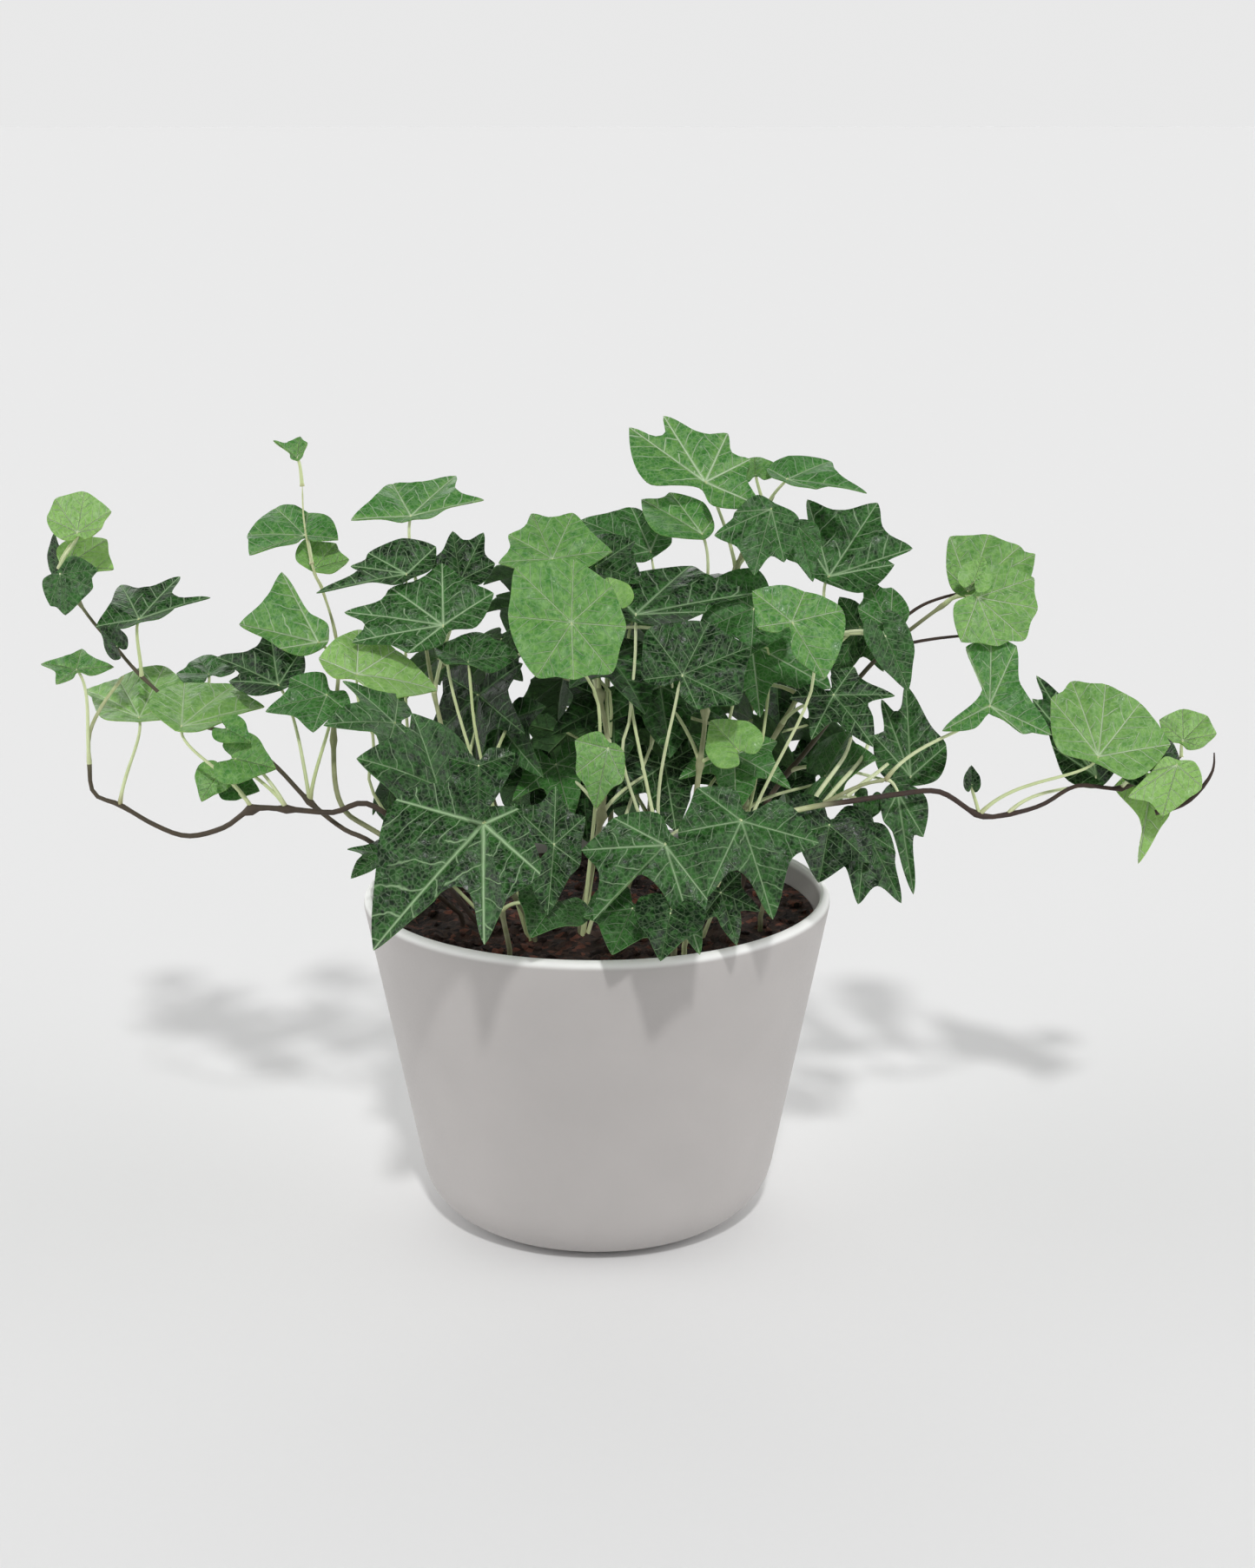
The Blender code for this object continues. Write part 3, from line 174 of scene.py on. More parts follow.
STEMS = (
    Stem(
        "ivy_stem_left_low", (-40, -36), 1.5,
        (
            (440, 934, -42), (382, 936, -38), (330, 932, -34), (290, 932, -30), (258, 953, -26),
            (216, 963, -22), (178, 950, -18), (138, 927, -15), (108, 914, -12), (103, 880, -10),
            (103, 845, -8), (118, 812, -5), (143, 778, 0),
        ),
        (
            Traced(
                (160, 825), ((134, 771), (94, 779), (189, 766), (224, 800), (106, 803)), -16, (-4, 66),
                0.9, 0.1, 0.05, 34, 0.77,
            ),
            Traced(
                (209, 835), ((271, 777), (212, 779), (304, 804), (258, 828)), -18, (6, 66), 0.88, 0.12,
                0.05, 34, 0.76,
            ),
            Traced(
                (88, 771), ((45, 759), (64, 787), (94, 746), (130, 765)), -8, (-8, 55), 0.6, 0.15, 0.1,
                30, 0.56,
            ),
            Leaf("heart", (250, 893), (231, 921), -24, 11, (-10, 40), -1, 1.0, 0.1, 0.1, 19, 0.64),
            Leaf("heart", (268, 905), (298, 909), -27, 10, (10, 45), -1, 1.0, 0.1, 0.1, 14, 0.32),
            Leaf("heart", (271, 874), (316, 883), -22, 15, (10, 35), -1, 1.0, 0.1, 0.1, 25, 0.64),
            Leaf("heart", (262, 840), (288, 853), -28, 10, (5, 45), -1, 0.9, 0.1, 0.1, 35, 0.59),
        ),
        0,
    ),
    Stem(
        "ivy_stem_left_middle", (-48, -20), 1.5,
        (
            (435, 975, -40), (396, 955, -34), (357, 924, -27), (315, 880, -20), (270, 846, -14),
            (225, 832, -8), (163, 779, 0), (132, 744, 4), (110, 720, 6), (89, 691, 6), (68, 655, 5),
            (82, 625, 4),
        ),
        (
            Traced(
                (89, 613), ((97, 566), (62, 573), (53, 596), (70, 621), (117, 609), (127, 588)), 2,
                (-12, 30), 0.93, 0.1, 0.1, 12, 0.85,
            ),
            Traced(
                (77, 652), ((131, 653), (123, 618), (92, 616), (108, 659)), 0, (12, 35), 0.9, 0.15, 0.1,
                12, 0.93,
            ),
            Traced(
                (69, 661), ((74, 708), (57, 697), (113, 656), (106, 677)), -4, (-8, 22), 0.9, 0.1, 0.1,
                12, 0.19,
            ),
            Leaf("heart", (68, 650), (60, 614), 9, 11, (-50, 20), -1, 0.7, 0.1, 0.1, 10, 0.02),
            Traced(
                (160, 712), ((241, 679), (207, 660), (138, 667), (110, 719), (200, 697)), 0, (0, 66), 0.6,
                0.12, 0.1, 24, 0.07,
            ),
            Leaf("heart", (134, 744), (117, 722), -2, 9, (-10, 60), -1, 1.0, 0.1, 0.1, 10, 0.02),
            Traced(
                (320, 788), ((246, 747), (309, 716), (348, 748), (262, 780)), -14, (-8, 50), 0.65, 0.12,
                0.1, 38, 0.02,
            ),
            Leaf("shield", (240, 776), (228, 754), 4, 14, (0, 55), 1, 1.0, 0.1, 0.1, 24, 0.24),
            Traced(
                (376, 800), ((304, 813), (334, 780), (360, 842), (404, 822)), -22, (-6, 50), 0.75, 0.12,
                0.1, 40, 0.37,
            ),
        ),
        0,
    ),
    Stem(
        "ivy_stem_left_upper", (-34, -8), 1.6,
        (
            (436, 960, -22), (392, 925, -16), (384, 850, -6), (390, 770, 0), (385, 725, 2), (372, 682, 2),
            (359, 650, 2), (350, 600, 2), (348, 560, 2),
        ),
        (
            Traced(
                (342, 527),
                (
                    (314, 506), (331, 511, NOTCH), (346, 503), (354, 510), (350, 521, NOTCH),
                    (333, 521, NOTCH),
                ),
                2, (-10, 50), 0.9, 0.05, 0.1, 12, 0.53,
            ),
            Traced(
                (350, 616),
                ((286, 634), (284, 612), (317, 583), (389, 619), (355, 591), (318, 628, NOTCH)), -2,
                (-6, 60), 0.95, 0.1, 0.1, 14, 0.47,
            ),
            Traced(
                (362, 655), ((402, 642), (387, 624), (353, 621)), -1, (6, 50), 0.85, 0.05, 0.1, 10, 0.76,
            ),
            Traced(
                (366, 739), ((273, 715), (326, 662), (356, 706, NOTCH), (322, 746)), -12, (-12, 42), 0.82,
                0.05, 0.1, 25, 0.55,
            ),
            Traced(
                (411, 776), ((504, 783), (456, 748), (413, 724), (367, 755)), -30, (8, 50), 0.9, 0.12,
                0.08, 42, 0.88,
            ),
            Leaf("star", (455, 832), (382, 822), -34, 26, (-6, 50), -1, 1.0, 0.15, 0.1, 40, 0.2),
            Traced(
                (468, 660),
                ((363, 677), (412, 657, NOTCH), (403, 649), (424, 637), (502, 629), (425, 668, NOTCH)),
                -10, (-5, 52), 0.85, 0.05, 0.1, 36, 0.02,
            ),
        ),
        0,
    ),
    Stem(
        "ivy_stem_left_crown", (-22, -34), 1.5,
        ((548, 960, -36), (520, 880, -28), (500, 800, -16), (488, 730, -4)),
        (
            Traced(
                (473, 593),
                ((525, 541), (557, 573), (518, 583, NOTCH), (452, 557), (404, 597), (438, 597, NOTCH)), 4,
                (2, 64), 0.72, 0.05, 0.08, 42, 0.48,
            ),
            Traced(
                (530, 668), ((521, 608), (557, 613), (570, 648), (496, 646)), -4, (4, 45), 0.75, 0.1, 0.1,
                34, 0.02,
            ),
            Traced(
                (510, 719), ((395, 699), (449, 673), (509, 648), (568, 680), (470, 751), (404, 735)), -24,
                (-4, 44), 0.8, 0.1, 0.06, 46, 0.17,
            ),
            Traced(
                (539, 762), ((500, 742), (548, 727), (597, 752)), -34, (0, 58), 0.8, 0.1, 0.1, 44, 0.16,
            ),
            Leaf("shield", (505, 905), (428, 866), -52, 30, (-15, 42), -1, 1.0, 0.15, 0.1, 40, 0.14),
        ),
        2,
    ),
    Stem(
        "ivy_stem_front_left", (-30, -58), 1.4, ((570, 1010, -58), (565, 960, -60), (560, 915, -60)),
        (
            Traced(
                (556, 948),
                (
                    (423, 1086), (482, 1050, NOTCH), (533, 1022, NOTCH), (555, 1084), (584, 1038, NOTCH),
                    (621, 1005), (456, 921), (433, 1003, NOTCH), (596, 930),
                ),
                -78, (-12, 36), 0.8, 0.1, 0.06, 30, 0.06,
            ),
            Traced(
                (551, 882), ((550, 941), (517, 873), (593, 867)), -72, (0, 42), 0.7, 0.1, 0.1, 26, 0.1,
            ),
            Traced(
                (638, 973), ((631, 1052), (668, 996), (674, 940), (640, 904), (588, 925)), -82, (4, 28),
                0.72, 0.1, 0.08, 28, 0.06,
            ),
            Leaf("heart", (640, 1040), (614, 1070), -80, 17, (0, 40), -1, 1.1, 0.15, 0.1, 20, 0.18),
            Leaf("star", (444, 984), (405, 1003), -50, 16, (-20, 45), -1, 0.9, 0.15, 0.1, 30, 0.1),
        ),
        1,
    ),
    Stem(
        "ivy_stem_front_right", (26, -62), 1.4, ((785, 1010, -64), (800, 960, -66), (815, 925, -64)),
        (
            Traced(
                (766, 973),
                (
                    (805, 1097), (739, 1008, NOTCH), (682, 1058), (690, 1006, NOTCH), (669, 978),
                    (706, 941), (814, 1035),
                ),
                -90, (-6, 28), 0.9, 0.1, 0.06, 26, 0.16,
            ),
            Traced(
                (854, 945),
                (
                    (893, 1054), (849, 1002, NOTCH), (813, 1033), (790, 990, NOTCH), (781, 958),
                    (803, 906), (911, 990, NOTCH), (943, 970),
                ),
                -84, (6, 32), 0.9, 0.1, 0.06, 22, 0.17,
            ),
            Leaf("shield", (728, 1046), (705, 1092), -82, 19, (-10, 35), -1, 1.0, 0.15, 0.1, 26, 0.24),
            Leaf("heart", (772, 1052), (762, 1096), -76, 17, (0, 35), -1, 1.0, 0.15, 0.1, 18, 0.02),
            Leaf("star", (830, 1028), (849, 1084), -74, 19, (6, 35), -1, 0.8, 0.15, 0.1, 20, 0.02),
        ),
        1,
    ),
    Stem(
        "ivy_stem_middle_right", (34, -34), 1.6,
        ((800, 940, -40), (806, 880, -36), (812, 820, -24), (806, 760, -10)),
        (
            Traced(
                (732, 706), ((868, 674), (795, 647), (708, 682), (812, 700)), -20, (0, 60), 0.82, 0.08,
                0.06, 48, 0.08,
            ),
            Traced(
                (786, 777), ((816, 716), (864, 742), (851, 808), (803, 817), (747, 723), (741, 782)), -48,
                (0, 30), 0.9, 0.08, 0.06, 52, 0.08,
            ),
            Traced(
                (912, 716), ((951, 779), (971, 702), (927, 681), (867, 679), (872, 722)), -46, (6, 32),
                0.9, 0.1, 0.08, 52, 0.55,
            ),
            Leaf("heart", (848, 862), (818, 828), -40, 15, (-6, 40), 1, 1.0, 0.1, 0.1, 20, 0.8),
            Leaf("shield", (868, 700), (806, 722), -10, 22, (0, 40), -1, 1.0, 0.12, 0.1, 46, 0.27),
            Leaf("star", (866, 742), (958, 788), 6, 32, (4, 36), -1, 1.0, 0.12, 0.1, 44, 0.37),
            Leaf("star", (846, 868), (848, 930), -10, 27, (4, 30), -1, 1.0, 0.12, 0.1, 30, 0.38),
        ),
        2,
    ),
    Stem(
        "ivy_stem_centre", (-6, -30), 1.6,
        ((692, 940, -36), (700, 862, -34), (690, 800, -22), (680, 740, -10)),
        (
            Traced(
                (636, 643), ((612, 587), (574, 648), (585, 613), (660, 592), (705, 633)), -12, (-2, 50),
                0.8, 0.08, 0.1, 42, 0.62,
            ),
            Traced(
                (658, 717),
                (
                    (617, 779), (660, 782), (704, 773), (721, 722), (704, 674), (660, 643), (592, 652),
                    (584, 708),
                ),
                -56, (-4, 22), 0.93, 0.1, 0.04, 44, 0.63,
            ),
            Traced(
                (749, 634), ((669, 591), (727, 584), (764, 600), (708, 642)), 6, (4, 50), 0.85, 0.1, 0.1,
                48, 0.28,
            ),
            Traced(
                (700, 862), ((684, 930), (717, 900), (718, 866), (662, 853), (663, 890)), -58, (-10, 26),
                0.85, 0.1, 0.1, 20, 0.64,
            ),
            Leaf("heart", (706, 692), (699, 663), -30, 11, (-10, 30), 1, 1.0, 0.1, 0.1, 26, 0.85),
            Leaf("shield", (686, 652), (736, 664), 2, 19, (0, 40), -1, 1.0, 0.12, 0.1, 42, 0.08),
            Leaf("star", (765, 880), (778, 948), -10, 28, (0, 30), -1, 1.0, 0.12, 0.1, 30, 0.02),
            Leaf("star", (640, 880), (656, 935), -10, 25, (0, 30), -1, 1.0, 0.12, 0.1, 30, 0.38),
        ),
        2,
    ),
    Stem(
        "ivy_stem_top", (10, 2), 1.7,
        ((760, 900, -6), (790, 800, 4), (830, 700, 8), (862, 620, 8), (880, 590, 6), (893, 566, 4)),
        (
            Traced(
                (812, 554), ((724, 489), (764, 480), (838, 499), (876, 581), (864, 530)), 2, (-6, 44),
                0.72, 0.05, 0.1, 34, 0.5,
            ),
            Leaf("heart", (870, 546), (868, 524), 2, 9, (-10, 40), 1, 1.3, 0.1, 0.1, 14, 0.6),
            Traced(
                (907, 551), ((999, 556), (957, 528), (884, 538), (940, 561)), 0, (4, 68), 0.75, 0.1, 0.08,
                16, 0.42,
            ),
            Traced(
                (808, 614), ((738, 568), (771, 563), (821, 598)), -4, (-4, 50), 0.85, 0.08, 0.1, 40, 0.52,
            ),
            Traced(
                (888, 586), ((868, 659), (822, 614), (846, 590), (903, 646)), -10, (-6, 34), 0.8, 0.1,
                0.1, 22, 0.22,
            ),
            Traced(
                (918, 605), ((938, 667), (946, 632), (906, 642)), 2, (10, 32), 0.85, 0.1, 0.1, 26, 0.29,
            ),
        ),
        2,
    ),
    Stem(
        "ivy_stem_right_crown", (44, -12), 1.6,
        ((852, 940, -16), (880, 870, -8), (920, 800, 2), (950, 740, 8)),
        (
            Traced(
                (955, 663), ((1052, 628), (1031, 647), (1011, 578), (930, 573), (926, 620)), 4, (4, 40),
                0.78, 0.08, 0.08, 30, 0.17,
            ),
            Traced(
                (1025, 723), ((992, 652), (1028, 677), (988, 700)), -2, (-6, 36), 0.75, 0.08, 0.1, 30,
                0.36,
            ),
            Leaf("heart", (1020, 733), (1049, 794), -8, 20, (8, 34), -1, 0.6, 0.1, 0.1, 28, 0.17),
            Leaf("star", (960, 800), (1006, 850), -22, 24, (8, 40), -1, 1.0, 0.12, 0.1, 30, 0.03),
            Leaf("shield", (950, 893), (1002, 868), -30, 22, (6, 50), -1, 1.0, 0.12, 0.1, 32, 0.35),
            Leaf("star", (990, 722), (958, 780), 10, 21, (0, 36), -1, 1.0, 0.12, 0.1, 28, 0.13),
        ),
        2,
    ),
    Stem(
        "ivy_stem_right_cluster", (52, 4), 1.5,
        (
            (880, 930, 2), (940, 850, 10), (990, 780, 10), (1028, 742, 8), (1060, 716, 6), (1086, 697, 4),
            (1107, 682, 2),
        ),
        (
            Traced(
                (1116, 680), ((1194, 634), (1176, 626), (1139, 613), (1094, 617), (1090, 656)), -2,
                (4, 36), 0.93, 0.1, 0.08, 12, 0.7,
            ),
            Traced(
                (1126, 688), ((1182, 735), (1150, 743), (1107, 739), (1196, 700), (1192, 664)), -8,
                (4, 24), 0.93, 0.1, 0.06, 15, 0.7,
            ),
            Leaf("heart", (1122, 668), (1132, 640), -6, 9, (0, 30), 1, 1.0, 0.1, 0.1, 8, 0.76),
            Traced(
                (1049, 894), ((1044, 786), (1090, 858), (1006, 846), (1016, 803)), -6, (2, 30), 0.75,
                0.08, 0.1, 30, 0.13,
            ),
        ),
        1,
    ),
    Stem(
        "ivy_stem_right_trailing", (30, -50), 1.5,
        (
            (860, 962, -56), (895, 940, -52), (937, 929, -48), (985, 922, -42), (1032, 915, -36),
            (1082, 912, -30), (1127, 939, -25), (1160, 938, -22), (1200, 927, -18), (1240, 905, -14),
            (1291, 908, -10), (1330, 890, -10), (1360, 872, -10),
        ),
        (
            Traced(
                (1262, 893), ((1194, 773), (1189, 802), (1212, 860), (1246, 812)), -8, (-8, 28), 0.85,
                0.06, 0.1, 34, 0.02,
            ),
            Traced(
                (1265, 871), ((1275, 785), (1237, 780), (1212, 802), (1314, 808), (1349, 856)), -20,
                (2, 32), 0.95, 0.1, 0.05, 46, 0.71,
            ),
            Leaf("heart", (1322, 882), (1314, 827), -16, 18, (-4, 24), 1, 0.9, 0.1, 0.1, 12, 0.02),
            Traced(
                (1362, 853), ((1392, 823), (1362, 816), (1335, 829), (1401, 845), (1384, 861)), -8,
                (4, 34), 0.92, 0.1, 0.1, 8, 0.83,
            ),
            Traced(
                (1355, 881), ((1340, 938), (1299, 918), (1384, 906), (1326, 888)), -16, (-4, 30), 0.85,
                0.1, 0.1, 12, 0.91,
            ),
            Traced(
                (1326, 903),
                ((1311, 992), (1314, 948, NOTCH), (1336, 954, NOTCH), (1347, 937), (1282, 906)), -14,
                (-10, 30), 0.9, 0.08, 0.08, 8, 1,
            ),
            Leaf("heart", (1119, 903), (1119, 880), -28, 7.5, (0, 30), 1, 0.6, 0.1, 0.1, 7, 0.02),
        ),
        0,
    ),
    Stem(
        "ivy_stem_right_drooping", (58, -22), 1.4,
        ((905, 955, -28), (950, 925, -30), (990, 905, -28), (1020, 898, -26)),
        (
            Traced(
                (1140, 812),
                (
                    (1142, 718), (1112, 745), (1131, 795, NOTCH), (1085, 841), (1156, 829, NOTCH),
                    (1178, 845), (1211, 846), (1175, 790, NOTCH), (1171, 742),
                ),
                -26, (0, 32), 0.9, 0.06, 0.06, 48, 0.48,
            ),
            Traced(
                (1034, 912), ((1052, 1030), (1064, 963), (1018, 945)), -34, (8, 30), 0.6, 0.08, 0.08, 9,
                0.15,
            ),
            Traced(
                (997, 956), ((1040, 1037), (1031, 979), (989, 1040), (958, 988)), -38, (6, 34), 0.75, 0.1,
                0.08, 24, 0.09,
            ),
            Leaf("heart", (1000, 922), (992, 950), -32, 10, (0, 30), -1, 0.8, 0.1, 0.1, 12, 0.14),
            Leaf("shield", (955, 950), (945, 1012), -52, 22, (10, 36), -1, 1.0, 0.12, 0.1, 28, 0.02),
        ),
        0,
    ),
    Stem("ivy_stem_back_left", (-30, 28), 1.6, ((560, 900, 40), (520, 810, 52), (500, 720, 52)), (), 5),
    Stem("ivy_stem_back_centre", (6, 40), 1.6, ((700, 860, 54), (700, 760, 62), (700, 680, 56)), (), 6),
    Stem("ivy_stem_back_right", (40, 30), 1.6, ((830, 880, 42), (880, 790, 54), (900, 700, 50)), (), 5),
)

# Dark leaves deep in the crown, too many for the CAD model, each with its stem. Their darkness is partly
# their age and partly painted shade of the crown's inside.
INNER_LEAVES_WITH_PAINTED_SHADE = (
    (
        "ivy_stem_back_left",
        Leaf("star", (596, 770), (600, 830), 18, 28, (0, 30), -1, 1.0, 0.12, 0.1, 40, 0.02),
    ),
    (
        "ivy_stem_back_centre",
        Leaf("star", (640, 890), (622, 945), 14, 26, (0, 30), -1, 1.0, 0.12, 0.1, 40, 0.08),
    ),
    (
        "ivy_stem_centre",
        Leaf("shield", (672, 905), (676, 960), -4, 24, (0, 30), -1, 1.0, 0.12, 0.1, 30, 0.08),
    ),
    (
        "ivy_stem_back_right",
        Leaf("star", (893, 775), (900, 835), 24, 26, (4, 30), -1, 1.0, 0.12, 0.1, 36, 0.08),
    ),
    (
        "ivy_stem_back_right",
        Leaf("star", (912, 872), (925, 925), 20, 26, (4, 30), -1, 1.0, 0.12, 0.1, 36, 0.06),
    ),
    (
        "ivy_stem_back_right",
        Leaf("shield", (868, 888), (874, 940), 14, 24, (0, 30), -1, 1.0, 0.12, 0.1, 36, 0.08),
    ),
)


def unit(vector):
    return vector.normalized()


# Where things are seen
def seen_at(column, row, depth):
    """The point of this y that is seen at a column and a row of the picture."""
    forward = unit(EYE_AIM - EYE)
    right = unit(forward.cross(Vector((0, 0, 1))))
    up = right.cross(forward)
    across = (column - PICTURE_CENTRE[0]) / FOCAL_PIXELS
    down = (row - PICTURE_CENTRE[1]) / FOCAL_PIXELS
    ray = forward + right * across - up * down
    return EYE + ray * ((depth - EYE.y) / ray.y)


def look_towards(face):
    yaw, pitch = (math.radians(angle) for angle in face)
    level = math.cos(pitch)
    return Vector((math.sin(yaw) * level, -math.cos(yaw) * level, math.sin(pitch)))


def blade_seen(leaf):
    """The blade of a leaf of the table, turned so that its tip is seen where the table says."""
    if isinstance(leaf, Traced):
        return blade_traced(leaf)
    hub = seen_at(*leaf.hub, leaf.depth * MM)
    ray = unit(seen_at(*leaf.tip, hub.y) - EYE)
    foot = EYE + ray * (hub - EYE).dot(ray)
    aside = (foot - hub).length
    size = max(leaf.length * MM, aside)
    tip = foot + ray * leaf.side * math.sqrt(size**2 - aside**2)
    look = look_towards(leaf.face)
    axis = unit(tip - hub)
    normal = unit(look - axis * look.dot(axis))
    edge = edge_of_form(leaf.form, leaf.width)
    return Blade(edge, hub, axis, normal, size, leaf.droop, leaf.fold, leaf.stalk * MM, leaf.tone)


def blade_traced(leaf):
    """The flat blade that faces as the table says, and whose lobes' tips are seen where it says."""
    hub = seen_at(*leaf.hub, leaf.depth * MM)
    normal = look_towards(leaf.face)
    points = []
    for tip in leaf.tips:
        ray = unit(seen_at(*tip[:2], hub.y) - EYE)
        foot = EYE + ray * (hub - EYE).dot(ray)
        aside = (foot - hub).length
        along = (hub - foot).dot(normal) / ray.dot(normal)
        points.append(foot + ray * max(-MOST_LEAN * aside, min(MOST_LEAN * aside, along)) - hub)
    size = points[0].length
    axis = unit(points[0] - normal * points[0].dot(normal))
    across = axis.cross(normal)
    flat = []
    for point, tip in zip(points, leaf.tips):
        flat.append((point.dot(across) / size, point.dot(axis) / size, len(tip) == 2))
    edge = edge_through(flat, leaf.notch)
    return Blade(edge, hub, axis, normal, size, leaf.droop, leaf.fold, leaf.stalk * MM, leaf.tone)


# The blades
def edge_of_form(form, width):
    """The edge of one of the forms, counterclockwise from the tip."""
    half = [(math.radians(angle), reach) for angle, reach in FORMS[form]]
    left = [(-math.sin(angle) * reach * width, math.cos(angle) * reach) for angle, reach in half]
    right = [(-x, y) for x, y in reversed(left[1:-1])]
    reaches = [reach for _, reach in half] + [reach for _, reach in reversed(half[1:-1])]
    edge = []
    for index, (x, y) in enumerate(left + right):
        beside = (reaches[index - 1], reaches[(index + 1) % len(reaches)])
        edge.append((x, y, reaches[index] > max(beside)))
    return tuple(edge)


def edge_through(points, notch):
    """An edge through the points, with a notch between tips and the stalk's notch in the widest gap."""
    polar = sorted((math.atan2(-x, y) % TURN, math.hypot(x, y), is_tip) for x, y, is_tip in points)
    ends = polar[1:] + [(polar[0][0] + TURN, *polar[0][1:])]
    widest = max(end[0] - start[0] for start, end in zip(polar, ends))
    edge = []
    for (angle, reach, is_tip), (end_angle, end_reach, end_is_tip) in zip(polar, ends):
        gap = end_angle - angle
        edge.append((angle, reach, is_tip))
        if gap == widest and gap > WIDE_GAP:
            cheek = min(gap * CHEEK_SHARE, MOST_CHEEK)
            edge.append((angle + cheek, reach * CHEEK_REACH, False))
            edge.append((angle + gap / 2, STALK_NOTCH, False))
            edge.append((end_angle - cheek, end_reach * CHEEK_REACH, False))
        elif is_tip and end_is_tip:
            edge.append((angle + gap / 2, notch * (reach + end_reach) / 2, False))
    return tuple((-math.sin(turn) * reach, math.cos(turn) * reach, is_tip) for turn, reach, is_tip in edge)


def blade_height(blade, x, y):
    """How far the blade's surface stands off the flat, at x and y in units of its length."""
    radius = math.hypot(x, y)
    return blade.fold * abs(x) - blade.droop * radius**2


def blade_frame(blade):
    across = blade.axis.cross(blade.normal)
    return Matrix((across, blade.axis, blade.normal)).transposed()


def blade_points(blade, thickness):
    """The hub and the outline of the upper side, then of the lower side."""
    frame = blade_frame(blade)
    flat = [(0.0, 0.0)] + [(x, y) for x, y, _ in blade.edge]
    points = []
    for side in (0.5, -0.5):
        for x, y in flat:
            z = blade_height(blade, x, y) * blade.size + side * thickness
            points.append(blade.hub + frame @ Vector((x * blade.size, y * blade.size, z)))
    return points


def blade_faces(count):
    """The triangles of a plate: a fan from the hub on both sides, and the edge between them."""
    faces = []
    for here in range(1, count + 1):
        there = here % count + 1
        low_here = here + count + 1
        low_there = there + count + 1
        faces += [(0, here, there), (count + 1, low_there, low_here)]
        faces += [(here, low_here, there), (low_here, low_there, there)]
    return faces


def blade_mesh(blade, thickness):
    points = blade_points(blade, thickness)
    return points, blade_faces(len(points) // 2 - 1)


# The stems and the stalks
def smooth_route(points, spacing):
    """A smooth curve through the points, with a point about every spacing."""
    points = [Vector(point) for point in points]
    ends = [points[0] * 2 - points[1]] + points + [points[-1] * 2 - points[-2]]
    route = []
    for before, start, end, after in zip(ends, ends[1:], ends[2:], ends[3:]):
        steps = max(2, round((end - start).length / spacing) + 1)
        leave = start + (end - before) / 6
        arrive = end - (after - start) / 6
        route += interpolate_bezier(start, leave, arrive, end, steps)[:-1]
    return route + [points[-1]]


def stem_route(stem, spacing):
    root = Vector((stem.root[0] * MM, stem.root[1] * MM, SOIL_TOP))
    seen = [seen_at(column, row, depth * MM) for column, row, depth in stem.route]
    buried = root - Vector((0, 0, ROOT_DEPTH))
    risen = root + Vector((0, 0, STEM_RISE))
    return [buried] + smooth_route([risen] + seen, spacing)


def stalk_route(start, blade, bow, count):
    """A stalk's curve, from a point on the stem to the blade's hub, which it meets from below."""
    length = (blade.hub - start).length
    rise = unit(unit(blade.hub - start) + Vector((*bow, STALK_RISE)))
    arrival = unit(blade.normal * ARRIVE_BELOW + blade.axis * ARRIVE_BEHIND)
    leave = start + rise * length * STALK_HANDLES[0]
    arrive = blade.hub - arrival * length * STALK_HANDLES[1]
    return interpolate_bezier(start, leave, arrive, blade.hub, count)


def beads_on(route):
    """Points along a route, close together."""
    beads = []
    for start, end in zip(route, route[1:]):
        steps = max(1, math.ceil((end - start).length / BEAD_SPACING))
        beads += [start.lerp(end, step / steps) for step in range(steps)]
    return np.array(beads + [route[-1]])


# Keeping the leafy stems clear of each other
class Thicket:
    """What stands so far: blades as trees of their faces, and stems and stalks as beads."""

    def __init__(self):
        self.plates = []
        self.tubes = []

    def add_blade(self, owner, blade):
        points, faces = blade_mesh(blade, BLADE_THICKNESS)
        tree = BVHTree.FromPolygons(points, faces)
        self.plates.append((owner, tree, blade.hub, blade.size * BLADE_REACH))

    def add_fixture(self, obj, reach):
        """The pot or the soil, which belongs to no stem."""
        points = [obj.matrix_world @ vertex.co for vertex in obj.data.vertices]
        faces = [tuple(face.vertices) for face in obj.data.polygons]
        tree = BVHTree.FromPolygons(points, faces)
        self.plates.append((NO_STEM, tree, Vector((0, 0, SOIL_TOP)), reach))

    def add_tube(self, owner, route, radius):
        self.tubes.append((owner, beads_on(route), radius))

    def owners_hit_by_blade(self, blade):
        """The owners of what a blade would touch."""
        points, faces = blade_mesh(blade, BLADE_THICKNESS + 2 * CLEARANCE)
        tree = BVHTree.FromPolygons(points, faces)
        hit = {owner for owner, other, _, _ in self.plates if other.overlap(tree)}
        for owner, beads, radius in self.tubes:
            reach = radius + CLEARANCE
            near = np.linalg.norm(beads - np.array(blade.hub), axis=1) < blade.size * BLADE_REACH
            if any(tree.find_nearest(Vector(bead), reach)[0] for bead in beads[near]):
                hit.add(owner)
        return hit

    def owners_hit_by_tube(self, route, radius):
        """The owners of what a stalk would touch."""
        beads = beads_on(route)
        hit = set()
        for owner, tree, centre, size in self.plates:
            reach = radius + CLEARANCE
            near = np.linalg.norm(beads - np.array(centre), axis=1) < size
            if any(tree.find_nearest(Vector(bead), reach)[0] for bead in beads[near]):
                hit.add(owner)
        for owner, others, other_radius in self.tubes:
            apart = np.linalg.norm(beads[:, None] - others[None], axis=2).min()
            if apart < radius + other_radius + CLEARANCE:
                hit.add(owner)
        return hit


